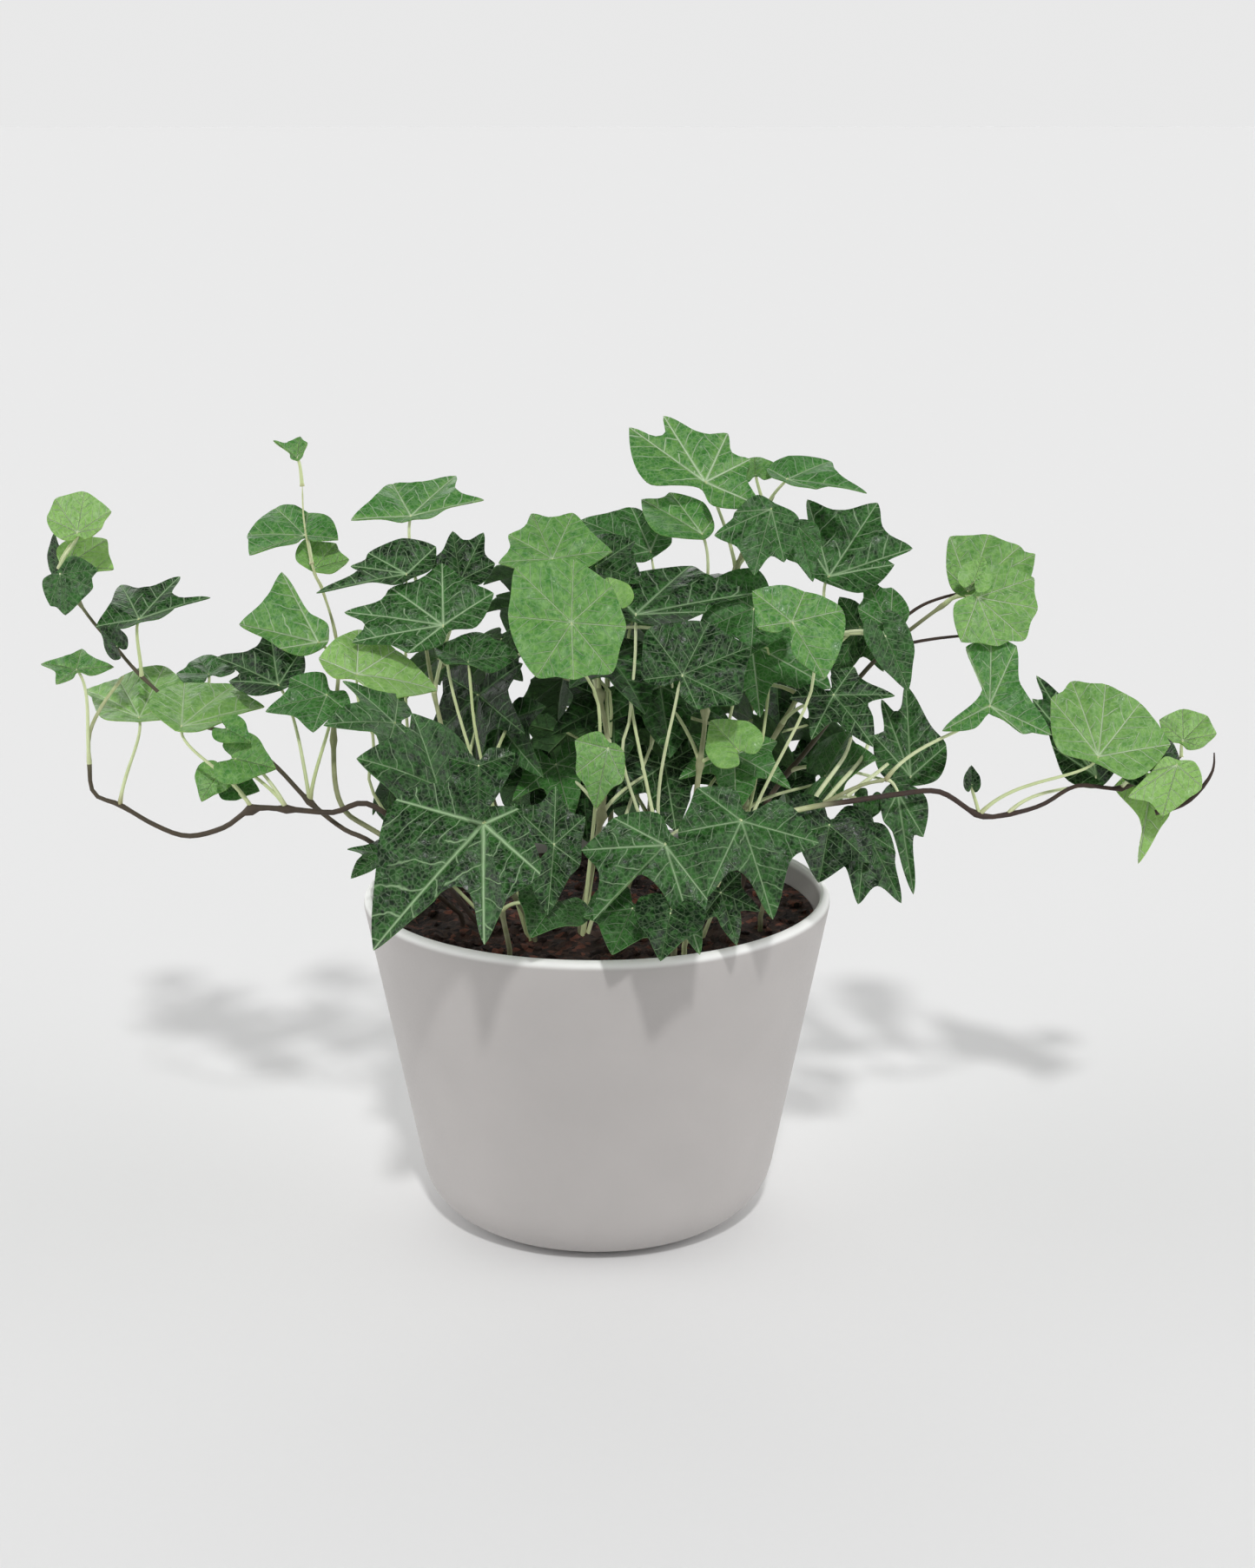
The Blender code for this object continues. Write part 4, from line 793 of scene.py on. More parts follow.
def stalk_starts(route, blade):
    """The points of a stem, the likeliest first, from which the stalk of a blade may spring."""
    above = [point for point in route if point.z > SOIL_TOP + 3 * MM]

    def unlikeliness(point):
        off = abs((blade.hub - point).length - blade.stalk)
        too_high = max(0.0, point.z - blade.hub.z + 4 * MM)
        return off + 0.8 * too_high

    return sorted(above, key=unlikeliness)[:STALK_CHOICES]


def fitted(thicket, owner, route, choices):
    """The first of the blades, with its stalk's start and bow, that touches nothing of another stem.

    One that keeps clear of its own stem's blades as well is preferred. None is returned if none is clear.
    """
    second_best = None
    for blade in choices:
        hit = thicket.owners_hit_by_blade(blade)
        if hit - {owner}:
            continue
        for start in stalk_starts(route, blade):
            for bow in BOWS:
                stalk = stalk_route(start, blade, bow, STALK_POINTS)
                if thicket.owners_hit_by_tube(stalk, STALK_RADIUS) - {owner}:
                    continue
                if not hit:
                    return blade, start, bow
                second_best = second_best or (blade, start, bow)
    return second_best


# Laying the leaves out
def shifted_choices(leaf):
    """The leaf of the table where it is, then nearer and farther along the line of sight."""
    return [blade_seen(leaf._replace(depth=leaf.depth + shift)) for shift in DEPTH_SHIFTS]


def crown_spots(layer):
    """The seeded places of a layer of the filling leaves, each as a few choices of one blade."""
    rng = random.Random(SEED)
    spots = []
    for index in range(layer.places):
        height = 1 - 1.3 * (index + 0.5) / layer.places
        around = index * GOLDEN_TURN + rng.uniform(-0.2, 0.2)
        ring = math.sqrt(1 - height**2)
        outward = Vector((math.cos(around) * ring, math.sin(around) * ring, height))
        choices = crown_choices(rng, outward, layer)
        if outward.y > layer.back:
            spots.append(choices)
    rng.shuffle(spots)
    return spots


def crown_choices(rng, outward, layer):
    """One blade of the crown, at its place and farther in."""
    size = rng.uniform(layer.smallest, layer.longest) * MM
    normal = unit(outward + Vector((rng.uniform(-0.3, 0.3), rng.uniform(-0.3, 0.3), layer.look_up)))
    hang = Vector((outward.x + rng.uniform(-0.4, 0.4), outward.y + rng.uniform(-0.4, 0.4), -0.6))
    axis = unit(hang - normal * hang.dot(normal))
    form = rng.choice(("star", "star", "shield"))
    width = rng.uniform(*FILLING_WIDTHS)
    choices = []
    for inward in INWARD:
        hub = CROWN_CENTRE + outward * Vector(layer.size) * MM * inward - axis * size * 0.3
        edge = edge_of_form(form, width)
        tone = FILLING_TONE_WITH_PAINTED_SHADE * (width - 0.9) / 0.1
        choices.append(Blade(edge, hub, axis, normal, size, 0.15, 0.1, FILLING_STALK, tone))
    return choices


def nearest_stem(hub, routes, left):
    """The stem that passes nearest to a hub, of those that may still take a filling leaf."""
    free = [index for index, number in enumerate(left) if number > 0]

    def distance(index):
        return min((hub - point).length for point in routes[index])

    return min(free, key=distance, default=None)


def plant_layout(pot, soil):
    """For each stem its leaves, each a blade with the start and the bow of its stalk."""
    thicket = Thicket()
    thicket.add_fixture(pot, FIXTURE_REACH)
    thicket.add_fixture(soil, FIXTURE_REACH)
    routes = [stem_route(stem, STEM_POINT_SPACING) for stem in STEMS]
    for index, stem in enumerate(STEMS):
        if thicket.owners_hit_by_tube(routes[index][2:], stem.radius * MM):
            raise ValueError(f"{stem.name} touches another stem or the pot")
        thicket.add_tube(index, routes[index], stem.radius * MM)
    leaves = [[] for _ in STEMS]

    def settle(index, choices):
        found = fitted(thicket, index, routes[index], choices)
        if found:
            thicket.add_blade(index, found[0])
            stalk = stalk_route(found[1], found[0], found[2], STALK_POINTS)
            thicket.add_tube(index, stalk, STALK_RADIUS)
            leaves[index].append(found)
        return found

    for index, stem in enumerate(STEMS):
        for leaf in stem.leaves:
            if not settle(index, shifted_choices(leaf)):
                raise ValueError(f"no room on {stem.name} for the leaf at {leaf.hub}")
    for layer, in_table in ((INNER_LAYER, True), (OUTER_LAYER, False)):
        left = [stem.fillers * (bool(stem.leaves) == in_table) for stem in STEMS]
        for choices in crown_spots(layer):
            index = nearest_stem(choices[0].hub, routes, left)
            if index is not None and settle(index, choices):
                left[index] -= 1
    names = [stem.name for stem in STEMS]
    for name, leaf in INNER_LEAVES_WITH_PAINTED_SHADE:
        settle(names.index(name), shifted_choices(leaf))
    return leaves


# The fine surface of a blade: spokes from its hub to its edge, and rings that are closer near the edge
SPOKES = 72
RINGS = 10
RING_REACHES = (0.0, 0.07, 0.17, 0.29, 0.42, 0.55, 0.67, 0.79, 0.89, 0.96, 1.0)
LEAST_SPOKES = 3

# A lobe's tip stays a corner where it is sharper than BLUNT. A lobe's sides swell by a turn, the edge's
# other points are rounded by handles of a share of the chord, and the spokes draw together at the tips.
BLUNT = math.radians(112)
LOBE_SWELL = math.radians(13)
ROUNDING = 0.9
CROWDING = 1.25

# The relief, in units of the blade's length: a groove along each main vein, blades pleated up beside the
# veins out to a distance, and waves about the hub, each with its number and its share
GROOVE_DEPTH = 0.005
GROOVE_WIDTH = 0.035
GROOVE_START = 6
PLEAT = 0.26
PLEAT_WIDTH = 0.3
PLEAT_SINK = 0.1
RUFFLE = 0.08
RUFFLES = (0.5, 1.1)
WAVES = ((2, 0.45), (3, 0.5), (5, 0.38), (9, 0.16))


def corner_angle(points, index):
    before = points[index - 1] - points[index]
    after = points[(index + 1) % len(points)] - points[index]
    return before.angle(after)


def turned_by(vector, angle):
    return Matrix.Rotation(angle, 2) @ vector


def edge_tangents(points, sharp, index):
    """The directions in which the edge leaves one of its points and comes to the next."""
    count = len(points)
    here, there = points[index], points[(index + 1) % count]
    chord = there - here
    leave = turned_by(chord, -LOBE_SWELL)
    arrive = turned_by(chord, LOBE_SWELL)
    if not sharp[index]:
        leave = (there - points[index - 1]).normalized() * chord.length * ROUNDING
    if not sharp[(index + 1) % count]:
        arrive = (points[(index + 2) % count] - here).normalized() * chord.length * ROUNDING
    return leave, arrive


def spokes_shared(lengths):
    """How many spokes each stretch of the edge gets: by its length, with a least number."""
    whole = sum(lengths)
    shares = [max(LEAST_SPOKES, round(SPOKES * length / whole)) for length in lengths]
    while sum(shares) != SPOKES:
        step = 1 if sum(shares) < SPOKES else -1
        ranked = sorted(range(len(shares)), key=lambda index: lengths[index] / shares[index])
        shares[ranked[-1] if step > 0 else ranked[0]] += step
        if step < 0 and shares[ranked[0]] < 1:
            raise ValueError("a blade's edge has more points than spokes")
    return shares


def nearest_tip(edge, index, after):
    """The tip that a stretch of the edge belongs to: the one at its start or end, or the nearest."""
    count = len(edge)
    for step in range(count):
        ways = ((index - step) % count, (index + 1 + step) % count)
        for way in reversed(ways) if after else ways:
            if edge[way][2]:
                return way
    return 0


def edge_samples(edge):
    """The smooth edge at each spoke, and for each gap between spokes the tip that its veins run to."""
    points = [Vector(point[:2]) for point in edge]
    sharp = [point[2] and corner_angle(points, index) < BLUNT for index, point in enumerate(edge)]
    count = len(points)
    lengths = [(points[(index + 1) % count] - points[index]).length for index in range(count)]
    samples, tips = [], []
    for index, share in enumerate(spokes_shared(lengths)):
        here, there = points[index], points[(index + 1) % count]
        leave, arrive = edge_tangents(points, sharp, index)
        for step in range(share):
            t = step / share
            if edge[index][2]:
                t = t**CROWDING
            elif edge[(index + 1) % count][2]:
                t = 1 - (1 - t) ** CROWDING
            samples.append(
                here * (2 * t**3 - 3 * t**2 + 1)
                + leave * (t**3 - 2 * t**2 + t)
                + there * (3 * t**2 - 2 * t**3)
                + arrive * (t**3 - t**2)
            )
            tips.append(nearest_tip(edge, index, step >= share / 2))
    return np.array(samples), [points[tip] for tip in tips]


def blade_surface(blade, rng):
    """The places of a blade's points, ring by ring and spoke by spoke, and the veins' coordinates."""
    samples, tips = edge_samples(blade.edge)
    reaches = np.array(RING_REACHES)[:, None, None]
    flat = samples[None] * reaches
    x, y = flat[..., 0], flat[..., 1]
    radius = np.hypot(x, y)
    height = blade.fold * np.abs(x) - blade.droop * radius**2
    tip_axes = np.array([tip / tip.length for tip in tips])
    tip_lengths = np.array([tip.length for tip in tips])
    off_vein = np.abs(tip_axes[:, 0] * y - tip_axes[:, 1] * x)
    groove = GROOVE_DEPTH * np.exp(-((off_vein / GROOVE_WIDTH) ** 2))
    height -= groove * np.clip(radius * GROOVE_START, 0, 1)
    height += PLEAT * (np.minimum(off_vein, PLEAT_WIDTH) - PLEAT_SINK)
    around = np.arctan2(x, y)
    wave = np.zeros_like(around)
    for lobes, share in WAVES:
        wave += share * np.sin(lobes * around + rng.uniform(0, TURN))
    height += RUFFLE * rng.uniform(*RUFFLES) * radius**2 * wave
    board = np.array(blade_frame(blade))
    solid = np.stack((x, y, height), axis=-1) * blade.size
    places = np.array(blade.hub) + solid @ board.T
    gaps = np.arange(SPOKES)
    veins = np.zeros((len(RING_REACHES), SPOKES, 2, 2))
    for side in (0, 1):
        corner = flat[:, (gaps + side) % SPOKES]
        veins[:, :, side, 0] = tip_axes[:, 0] * corner[..., 1] - tip_axes[:, 1] * corner[..., 0]
        veins[:, :, side, 1] = (tip_axes * corner).sum(axis=-1) / tip_lengths
    return places, veins


# Modelling
def deselect():
    bpy.ops.object.select_all(action="DESELECT")


def pick(*objects):
    """Selects these objects alone, the first one active."""
    deselect()
    for obj in objects:
        obj.select_set(True)
    bpy.context.view_layer.objects.active = objects[0]


def apply_modifier(obj, kind, **settings):
    modifier = obj.modifiers.new(kind.lower(), kind)
    for name, value in settings.items():
        setattr(modifier, name, value)
    pick(obj)
    bpy.ops.object.modifier_apply(modifier=modifier.name)


def smooth(obj, degrees):
    pick(obj)
    bpy.ops.object.shade_smooth_by_angle(angle=math.radians(degrees))


def joined(name, parts):
    pick(*parts)
    bpy.ops.object.join()
    whole = bpy.context.object
    whole.name = whole.data.name = name
    return whole


def copy_of(master):
    twin = master.copy()
    twin.data = master.data.copy()
    bpy.context.scene.collection.objects.link(twin)
    return twin


def remove(obj):
    mesh = obj.data
    bpy.data.objects.remove(obj)
    bpy.data.meshes.remove(mesh)


def round_sheet():
    """A flat round sheet of rings about a hub. Every blade is a copy of it, shaped."""
    deselect()
    bpy.ops.mesh.primitive_circle_add(vertices=SPOKES, radius=1, fill_type="TRIFAN")
    sheet = bpy.context.object
    bpy.ops.object.mode_set(mode="EDIT")
    bpy.ops.mesh.select_mode(type="EDGE")
    bpy.ops.mesh.select_all(action="DESELECT")
    bpy.ops.mesh.select_non_manifold()
    for ring in range(2, RINGS + 1):
        bpy.ops.mesh.extrude_region_move()
        wider = ring / (ring - 1)
        bpy.ops.transform.resize(value=(wider, wider, 1), center_override=(0, 0, 0))
    bpy.ops.object.mode_set(mode="OBJECT")
    return sheet


def ring_and_spoke(mesh, spokes):
    """For each vertex of a round sheet its ring and its spoke."""
    flat = np.zeros(len(mesh.vertices) * 3)
    mesh.vertices.foreach_get("co", flat)
    flat = flat.reshape(-1, 3)
    ring = np.round(np.hypot(flat[:, 0], flat[:, 1])).astype(int)
    spoke = np.round(np.arctan2(flat[:, 1], flat[:, 0]) / TURN * spokes).astype(int) % spokes
    return ring, spoke


def faces_of_gaps(mesh, spokes):
    """For each corner of a round sheet its vertex, its gap between spokes, and its side of the gap."""
    ring, spoke = ring_and_spoke(mesh, spokes)
    vertices, gaps, sides = [], [], []
    for face in mesh.polygons:
        centre = math.atan2(face.center.y, face.center.x) % TURN
        gap = int(centre / TURN * spokes) % spokes
        for vertex in face.vertices:
            vertices.append(vertex)
            gaps.append(gap)
            sides.append(0 if ring[vertex] == 0 or spoke[vertex] == gap else 1)
    return np.array(vertices), np.array(gaps), np.array(sides)


def write_kind(mesh, name, values):
    """Keeps up to three numbers on each vertex, for the materials to read."""
    kind = mesh.attributes.new(name, "FLOAT_VECTOR", "POINT")
    kind.data.foreach_set("vector", np.ascontiguousarray(values, dtype=np.float32).ravel())


def fine_blade(sheet, corners, blade, rng, inner):
    """A copy of the round sheet, shaped to a blade. The inner ones' veins show less, partly for their age and
    partly as painted shade of the crown's inside.
    """
    leaf = copy_of(sheet)
    mesh = leaf.data
    places, veins = blade_surface(blade, rng)
    ring, spoke = ring_and_spoke(mesh, SPOKES)
    mesh.vertices.foreach_set("co", places[ring, spoke].ravel())
    vertices, gaps, sides = corners
    layer = mesh.uv_layers.new(name="veins")
    layer.data.foreach_set("uv", veins[ring[vertices], gaps, sides].ravel())
    mesh.uv_layers.active = layer
    seed = rng.uniform(0, 1)
    # Filling leaves get muted veins: partly their age, partly painted shade
    shown = 0.35 * seed if inner else 0.5 + 0.5 * seed
    write_kind(mesh, "leaf_kind", np.tile((blade.tone, shown, 0.0), (len(mesh.vertices), 1)))
    mesh.update()
    return leaf


def straight_tube(sides, rings):
    """A closed tube that stands on the origin, one unit a ring. Stems and stalks are copies of it, bent."""
    deselect()
    bpy.ops.mesh.primitive_circle_add(vertices=sides, radius=1, fill_type="NGON")
    tube = bpy.context.object
    bpy.ops.object.mode_set(mode="EDIT")
    bpy.ops.mesh.select_mode(type="FACE")
    bpy.ops.mesh.select_all(action="SELECT")
    for _ in range(rings):
        bpy.ops.mesh.extrude_region_move(TRANSFORM_OT_translate={"value": (0, 0, 1)})
    bpy.ops.mesh.select_all(action="SELECT")
    bpy.ops.mesh.normals_make_consistent(inside=False)
    bpy.ops.object.mode_set(mode="OBJECT")
    return tube


def along_route(route, count):
    """Points spread evenly along a route, and its directions there."""
    points = np.array([tuple(point) for point in route])
    far = np.concatenate(([0], np.cumsum(np.linalg.norm(np.diff(points, axis=0), axis=1))))
    wanted = np.linspace(0, far[-1], count)
    spread = np.stack([np.interp(wanted, far, points[:, axis]) for axis in range(3)], axis=-1)
    heading = np.gradient(spread, axis=0)
    return spread, heading / np.linalg.norm(heading, axis=1)[:, None]


def bent_tube(master, rings, route, radii, pale, wood):
    """A copy of the straight tube, bent along a route, with its radius and its woodiness at each ring."""
    tube = copy_of(master)
    mesh = tube.data
    centres, heading = along_route(route, rings + 1)
    flat = np.zeros(len(mesh.vertices) * 3)
    mesh.vertices.foreach_get("co", flat)
    flat = flat.reshape(-1, 3)
    ring = np.round(flat[:, 2]).astype(int)
    aside = np.zeros_like(heading)
    aside[0] = np.cross(heading[0], (0.3, 1.0, 0.2))
    for index in range(rings + 1):
        if index:
            aside[index] = aside[index - 1] - heading[index] * aside[index - 1].dot(heading[index])
        aside[index] /= np.linalg.norm(aside[index])
    across = np.cross(heading, aside)
    radius = np.array(radii)[ring][:, None]
    places = centres[ring] + (aside[ring] * flat[:, :1] + across[ring] * flat[:, 1:2]) * radius
    mesh.vertices.foreach_set("co", places.ravel())
    values = np.stack((ring / rings, np.full(len(ring), pale), wood[ring]), axis=-1)
    write_kind(mesh, "stalk_kind", values)
    mesh.update()
    return tube


# Materials. A MapRange node's inputs are, in order, its value, the value's range and the range it gets.
SMOOTH = {"interpolation_type": "SMOOTHSTEP"}
COLOURS = {"data_type": "RGBA"}
TIMES = {"operation": "MULTIPLY"}
TIMES_PLUS = {"operation": "MULTIPLY_ADD"}
LARGER = {"operation": "MAXIMUM"}
NOISE_RANGE = (0.3, 0.7)

# How large the patterns are on the real thing. The pot's grain is finer, and is drawn coarser to show.
POT_CLOUD = 30 * MM
POT_GRAIN = 0.9 * MM
# The band under the rim's top over which the pot's colour fades into a painted highlight
RIM_PAINTED_HIGHLIGHT_FADE = (3.2 * MM, 1.2 * MM)
SOIL_CRUMB = 2.2 * MM
SOIL_FINES = 1.1 * MM
VEIN_SWAY = 7 * MM
VEIN_NET = 1.7 * MM
LEAF_PATCH = 3.5 * MM
LEAF_MOTTLE = 1.5 * MM
LEAF_SWELL = 6 * MM
STALK_SHADE = 6 * MM
BARK_FLECK = 2.5 * MM
PAPER_FIBRE = 3 * MM

# The veins, in units of a lobe's length: half the width of a main vein at the hub and at the tip, the pale
# ground beside it, how far the side veins lean and sway, how many there are, and where they fade.
VEIN_WIDTHS = (0.026, 0.013)
VEIN_GROUND = 0.08
SIDE_VEIN_LEAN = -0.85
SIDE_VEIN_SWAY = 0.14
SIDE_VEIN_OFFSET = 0.1
SIDE_VEINS = 5.0
SIDE_VEIN_WIDTH = 0.07
SIDE_VEIN_SHARE = 0.72
SIDE_VEIN_FADE = (0.12, 0.36)
NET_WIDTH = 0.16
NET_SHARE = 0.14


def linear(code):
    """The linear colour of an sRGB hex code."""
    channels = [int(code[start : start + 2], 16) / 255 for start in (1, 3, 5)]
    return tuple(c / 12.92 if c <= 0.04045 else ((c + 0.055) / 1.055) ** 2.4 for c in channels)


def opaque(code):
    return (*linear(code), 1)


def add_node(tree, kind, settings=None, inputs=(), output=0):
    """Adds a node, sets it, gives its sockets a value or a link each, and returns one of its outputs."""
    node = tree.nodes.new("ShaderNode" + kind)
    for name, value in (settings or {}).items():
        setattr(node, name, value)
    for name, value in inputs.items() if isinstance(inputs, dict) else enumerate(inputs):
        if isinstance(value, bpy.types.NodeSocket):
            tree.links.new(value, node.inputs[name])
        else:
            node.inputs[name].default_value = value
    return node.outputs[output]


def new_material(name):
    """A material with its node tree, its shader and the place on the piece."""
    material = bpy.data.materials.new(name)
    material.use_nodes = True
    tree = material.node_tree
    return material, tree, tree.nodes["Principled BSDF"], add_node(tree, "TexCoord", output="Object")


def finish_shader(tree, shader, colour, roughness, height, depth, specular=0.5):
    """Links a colour, a roughness and a relief of this depth in metres to the shader."""
    tree.links.new(colour, shader.inputs["Base Color"])
    tree.links.new(roughness, shader.inputs["Roughness"])
    bump = add_node(tree, "Bump", inputs={"Strength": 1.0, "Distance": depth, "Height": height})
    tree.links.new(bump, shader.inputs["Normal"])
    shader.inputs["Specular IOR Level"].default_value = specular


def pot_material(colour, height):
    """Injection-moulded polypropylene: matt and faintly warm, its spark-eroded grain softens the light. The
    top of its rim is painted near-white, a painted highlight.
    """
    material, tree, shader, place = new_material("moulded_polypropylene")
    cloud = add_node(tree, "TexNoise", inputs={"Vector": place, "Scale": 1 / POT_CLOUD, "Detail": 3})
    grain = add_node(tree, "TexNoise", inputs={"Vector": place, "Scale": 1 / POT_GRAIN, "Detail": 2})
    share = add_node(tree, "MapRange", inputs=(cloud, *NOISE_RANGE, 0.0, 1.0))
    darker = tuple(channel * 0.95 for channel in colour)
    body = add_node(tree, "Mix", COLOURS, {0: share, 6: (*darker, 1), 7: (*colour, 1)}, 2)
    up = add_node(tree, "SeparateXYZ", inputs=(place,), output="Z")
    # The rim's top fades to near-white: a painted highlight where the rim's rounding catches the light, not a
    # colour of the plastic
    rim = add_node(tree, "MapRange", SMOOTH, (up, height - RIM_PAINTED_HIGHLIGHT_FADE[0], height - RIM_PAINTED_HIGHLIGHT_FADE[1], 0.0, 1.0))
    mixed = add_node(tree, "Mix", COLOURS, {0: rim, 6: body, 7: opaque("#f3f3f1")}, 2)
    rough = add_node(tree, "MapRange", inputs=(grain, *NOISE_RANGE, 0.44, 0.56))
    finish_shader(tree, shader, mixed, rough, grain, 0.03 * MM)
    return material


def soil_material():
    """Peat and bark: dull dark brown crumbs, some of them reddish fibre and some almost black."""
    material, tree, shader, place = new_material("peat_and_bark")
    cells = add_node(tree, "TexVoronoi", inputs={"Vector": place, "Scale": 1 / SOIL_CRUMB}, output="Color")
    shade = add_node(tree, "SeparateXYZ", inputs=(cells,)).node.outputs
    fine = add_node(tree, "TexNoise", inputs={"Vector": place, "Scale": 1 / SOIL_FINES, "Detail": 4})
    base = add_node(tree, "Mix", COLOURS, {0: shade["X"], 6: opaque("#1c1211"), 7: opaque("#4a3832")}, 2)
    red = add_node(tree, "MapRange", inputs=(shade["Y"], 0.8, 0.95, 0.0, 0.8))
    mixed = add_node(tree, "Mix", COLOURS, {0: red, 6: base, 7: opaque("#7a4a3c")}, 2)
    rough = add_node(tree, "MapRange", inputs=(fine, *NOISE_RANGE, 0.8, 1.0))
    finish_shader(tree, shader, mixed, rough, fine, 0.8 * MM, 0.3)
    return material


def vein_pattern(tree, place):
    """How much of a vein each place of a blade has, and how much of the pale ground beside the veins."""
    on_lobe = add_node(tree, "SeparateXYZ", inputs=(add_node(tree, "UVMap", {"uv_map": "veins"}),))
    across, along = on_lobe.node.outputs["X"], on_lobe.node.outputs["Y"]
    sway = add_node(tree, "TexNoise", inputs={"Vector": place, "Scale": 1 / VEIN_SWAY, "Detail": 2})
    off = add_node(tree, "Math", {"operation": "ABSOLUTE"}, (across,))
    width = add_node(tree, "MapRange", inputs=(along, 0.0, 1.0, *VEIN_WIDTHS))
    main = add_node(tree, "MapRange", SMOOTH, (off, 0.0, width, 1.0, 0.0))
    beside = add_node(tree, "MapRange", SMOOTH, (off, 0.0, VEIN_GROUND, 1.0, 0.0))
    lean = add_node(tree, "Math", TIMES_PLUS, (off, SIDE_VEIN_LEAN, along))
    swayed = add_node(tree, "Math", TIMES_PLUS, (sway, SIDE_VEIN_SWAY, lean))
    side = add_node(tree, "Math", {"operation": "GREATER_THAN"}, (across, 0.0))
    turns = add_node(tree, "Math", TIMES_PLUS, (side, SIDE_VEIN_OFFSET, swayed))
    count = add_node(tree, "Math", TIMES, (turns, SIDE_VEINS))
    saw = add_node(tree, "Math", {"operation": "PINGPONG"}, (count, 0.5))
    branch = add_node(tree, "MapRange", SMOOTH, (saw, 0.0, SIDE_VEIN_WIDTH, SIDE_VEIN_SHARE, 0.0))
    inner = add_node(tree, "MapRange", SMOOTH, (off, *SIDE_VEIN_FADE, 1.0, 0.1))
    branches = add_node(tree, "Math", TIMES, (branch, inner))
    edges = {"feature": "DISTANCE_TO_EDGE"}
    cells = add_node(tree, "TexVoronoi", edges, {"Vector": place, "Scale": 1 / VEIN_NET})
    net = add_node(tree, "MapRange", SMOOTH, (cells, 0.0, NET_WIDTH, NET_SHARE, 0.0))
    both = add_node(tree, "Math", LARGER, (branches, net))
    return add_node(tree, "Math", LARGER, (main, both)), beside


def leaf_material(name, colours, vein_colours, vein_share, gloss, relief):
    """A side of a living ivy leaf: waxy and uneven green, with paler veins that press in or stand out.

    leaf_kind holds each leaf's tone, from dark and old to pale and young, and how much its veins show.
    """
    material, tree, shader, place = new_material(name)
    kind = add_node(tree, "Attribute", {"attribute_name": "leaf_kind"}, output="Vector")
    tone = add_node(tree, "SeparateXYZ", inputs=(kind,))
    vigour = tone.node.outputs["Y"]
    vein, beside = vein_pattern(tree, place)
    patch = add_node(tree, "TexNoise", inputs={"Vector": place, "Scale": 1 / LEAF_PATCH, "Detail": 4})
    mottle = add_node(tree, "TexNoise", inputs={"Vector": place, "Scale": 1 / LEAF_MOTTLE, "Detail": 2})
    swell = add_node(tree, "TexNoise", inputs={"Vector": place, "Scale": 1 / LEAF_SWELL, "Detail": 1})
    cloud = add_node(tree, "Math", TIMES_PLUS, (mottle, 1.1, patch))
    spread = add_node(tree, "MapRange", inputs=(tone, 0.0, 0.7, 0.18, 0.12))
    uneven = add_node(tree, "MapRange", inputs=(cloud, 0.74, 1.34, -1.1, 0.9))
    patches = add_node(tree, "Math", TIMES, (uneven, spread))
    own = add_node(tree, "MapRange", inputs=(vigour, 0.0, 1.0, -0.05, 0.05))
    varied = add_node(tree, "Math", {"operation": "ADD"}, (patches, own))
    paler = add_node(tree, "Math", TIMES_PLUS, (beside, 0.12, varied))
    share = add_node(tree, "Math", {"operation": "ADD", "use_clamp": True}, (tone, paler))
    greens = add_node(tree, "ValToRGB", inputs=(share,))
    steps = greens.node.color_ramp.elements
    steps[0].color = opaque(colours[0])
    steps[1].color = opaque(colours[2])
    steps.new(0.5).color = opaque(colours[1])
    old, young = (opaque(code) for code in vein_colours)
    ribs = add_node(tree, "Mix", COLOURS, {0: tone, 6: old, 7: young}, 2)
    shown = add_node(tree, "MapRange", inputs=(vigour, 0.0, 1.0, 0.25 * vein_share, vein_share))
    much = add_node(tree, "Math", TIMES, (vein, shown))
    mixed = add_node(tree, "Mix", COLOURS, {0: much, 6: greens, 7: ribs}, 2)
    rough = add_node(tree, "MapRange", inputs=(patch, *NOISE_RANGE, gloss - 0.08, gloss + 0.1))
    soft = add_node(tree, "Math", TIMES, (mottle, 0.2))
    blistered = add_node(tree, "Math", TIMES_PLUS, (swell, 2.1, soft))
    height = add_node(tree, "Math", TIMES_PLUS, (vein, relief, blistered))
    finish_shader(tree, shader, mixed, rough, height, 0.75 * MM, 0.27)
    return material


def stalk_material():
    """A fresh leaf stalk: smooth, sappy pale green, reddish brown where it leaves the stem."""
    material, tree, shader, place = new_material("fresh_leaf_stalk")
    kind = add_node(tree, "Attribute", {"attribute_name": "stalk_kind"}, output="Vector")
    kind = add_node(tree, "SeparateXYZ", inputs=(kind,)).node.outputs
    shade = add_node(tree, "TexNoise", inputs={"Vector": place, "Scale": 1 / STALK_SHADE, "Detail": 3})
    fresh = add_node(tree, "Mix", COLOURS, {0: kind["Y"], 6: opaque("#afc07a"), 7: opaque("#e2eabf")}, 2)
    foot = add_node(tree, "MapRange", inputs=(kind["X"], 0.0, 0.14, 0.8, 0.0))
    reddish = add_node(tree, "Math", TIMES, (foot, kind["Z"]))
    tinted = add_node(tree, "Mix", COLOURS, {0: reddish, 6: fresh, 7: opaque("#7d5a3c")}, 2)
    shaded = add_node(tree, "MapRange", inputs=(shade, *NOISE_RANGE, 0.0, 0.3))
    mixed = add_node(tree, "Mix", COLOURS, {0: shaded, 6: tinted, 7: opaque("#a3b474")}, 2)
    rough = add_node(tree, "MapRange", inputs=(shade, *NOISE_RANGE, 0.4, 0.5))
    finish_shader(tree, shader, mixed, rough, shade, 0.15 * MM)
    return material


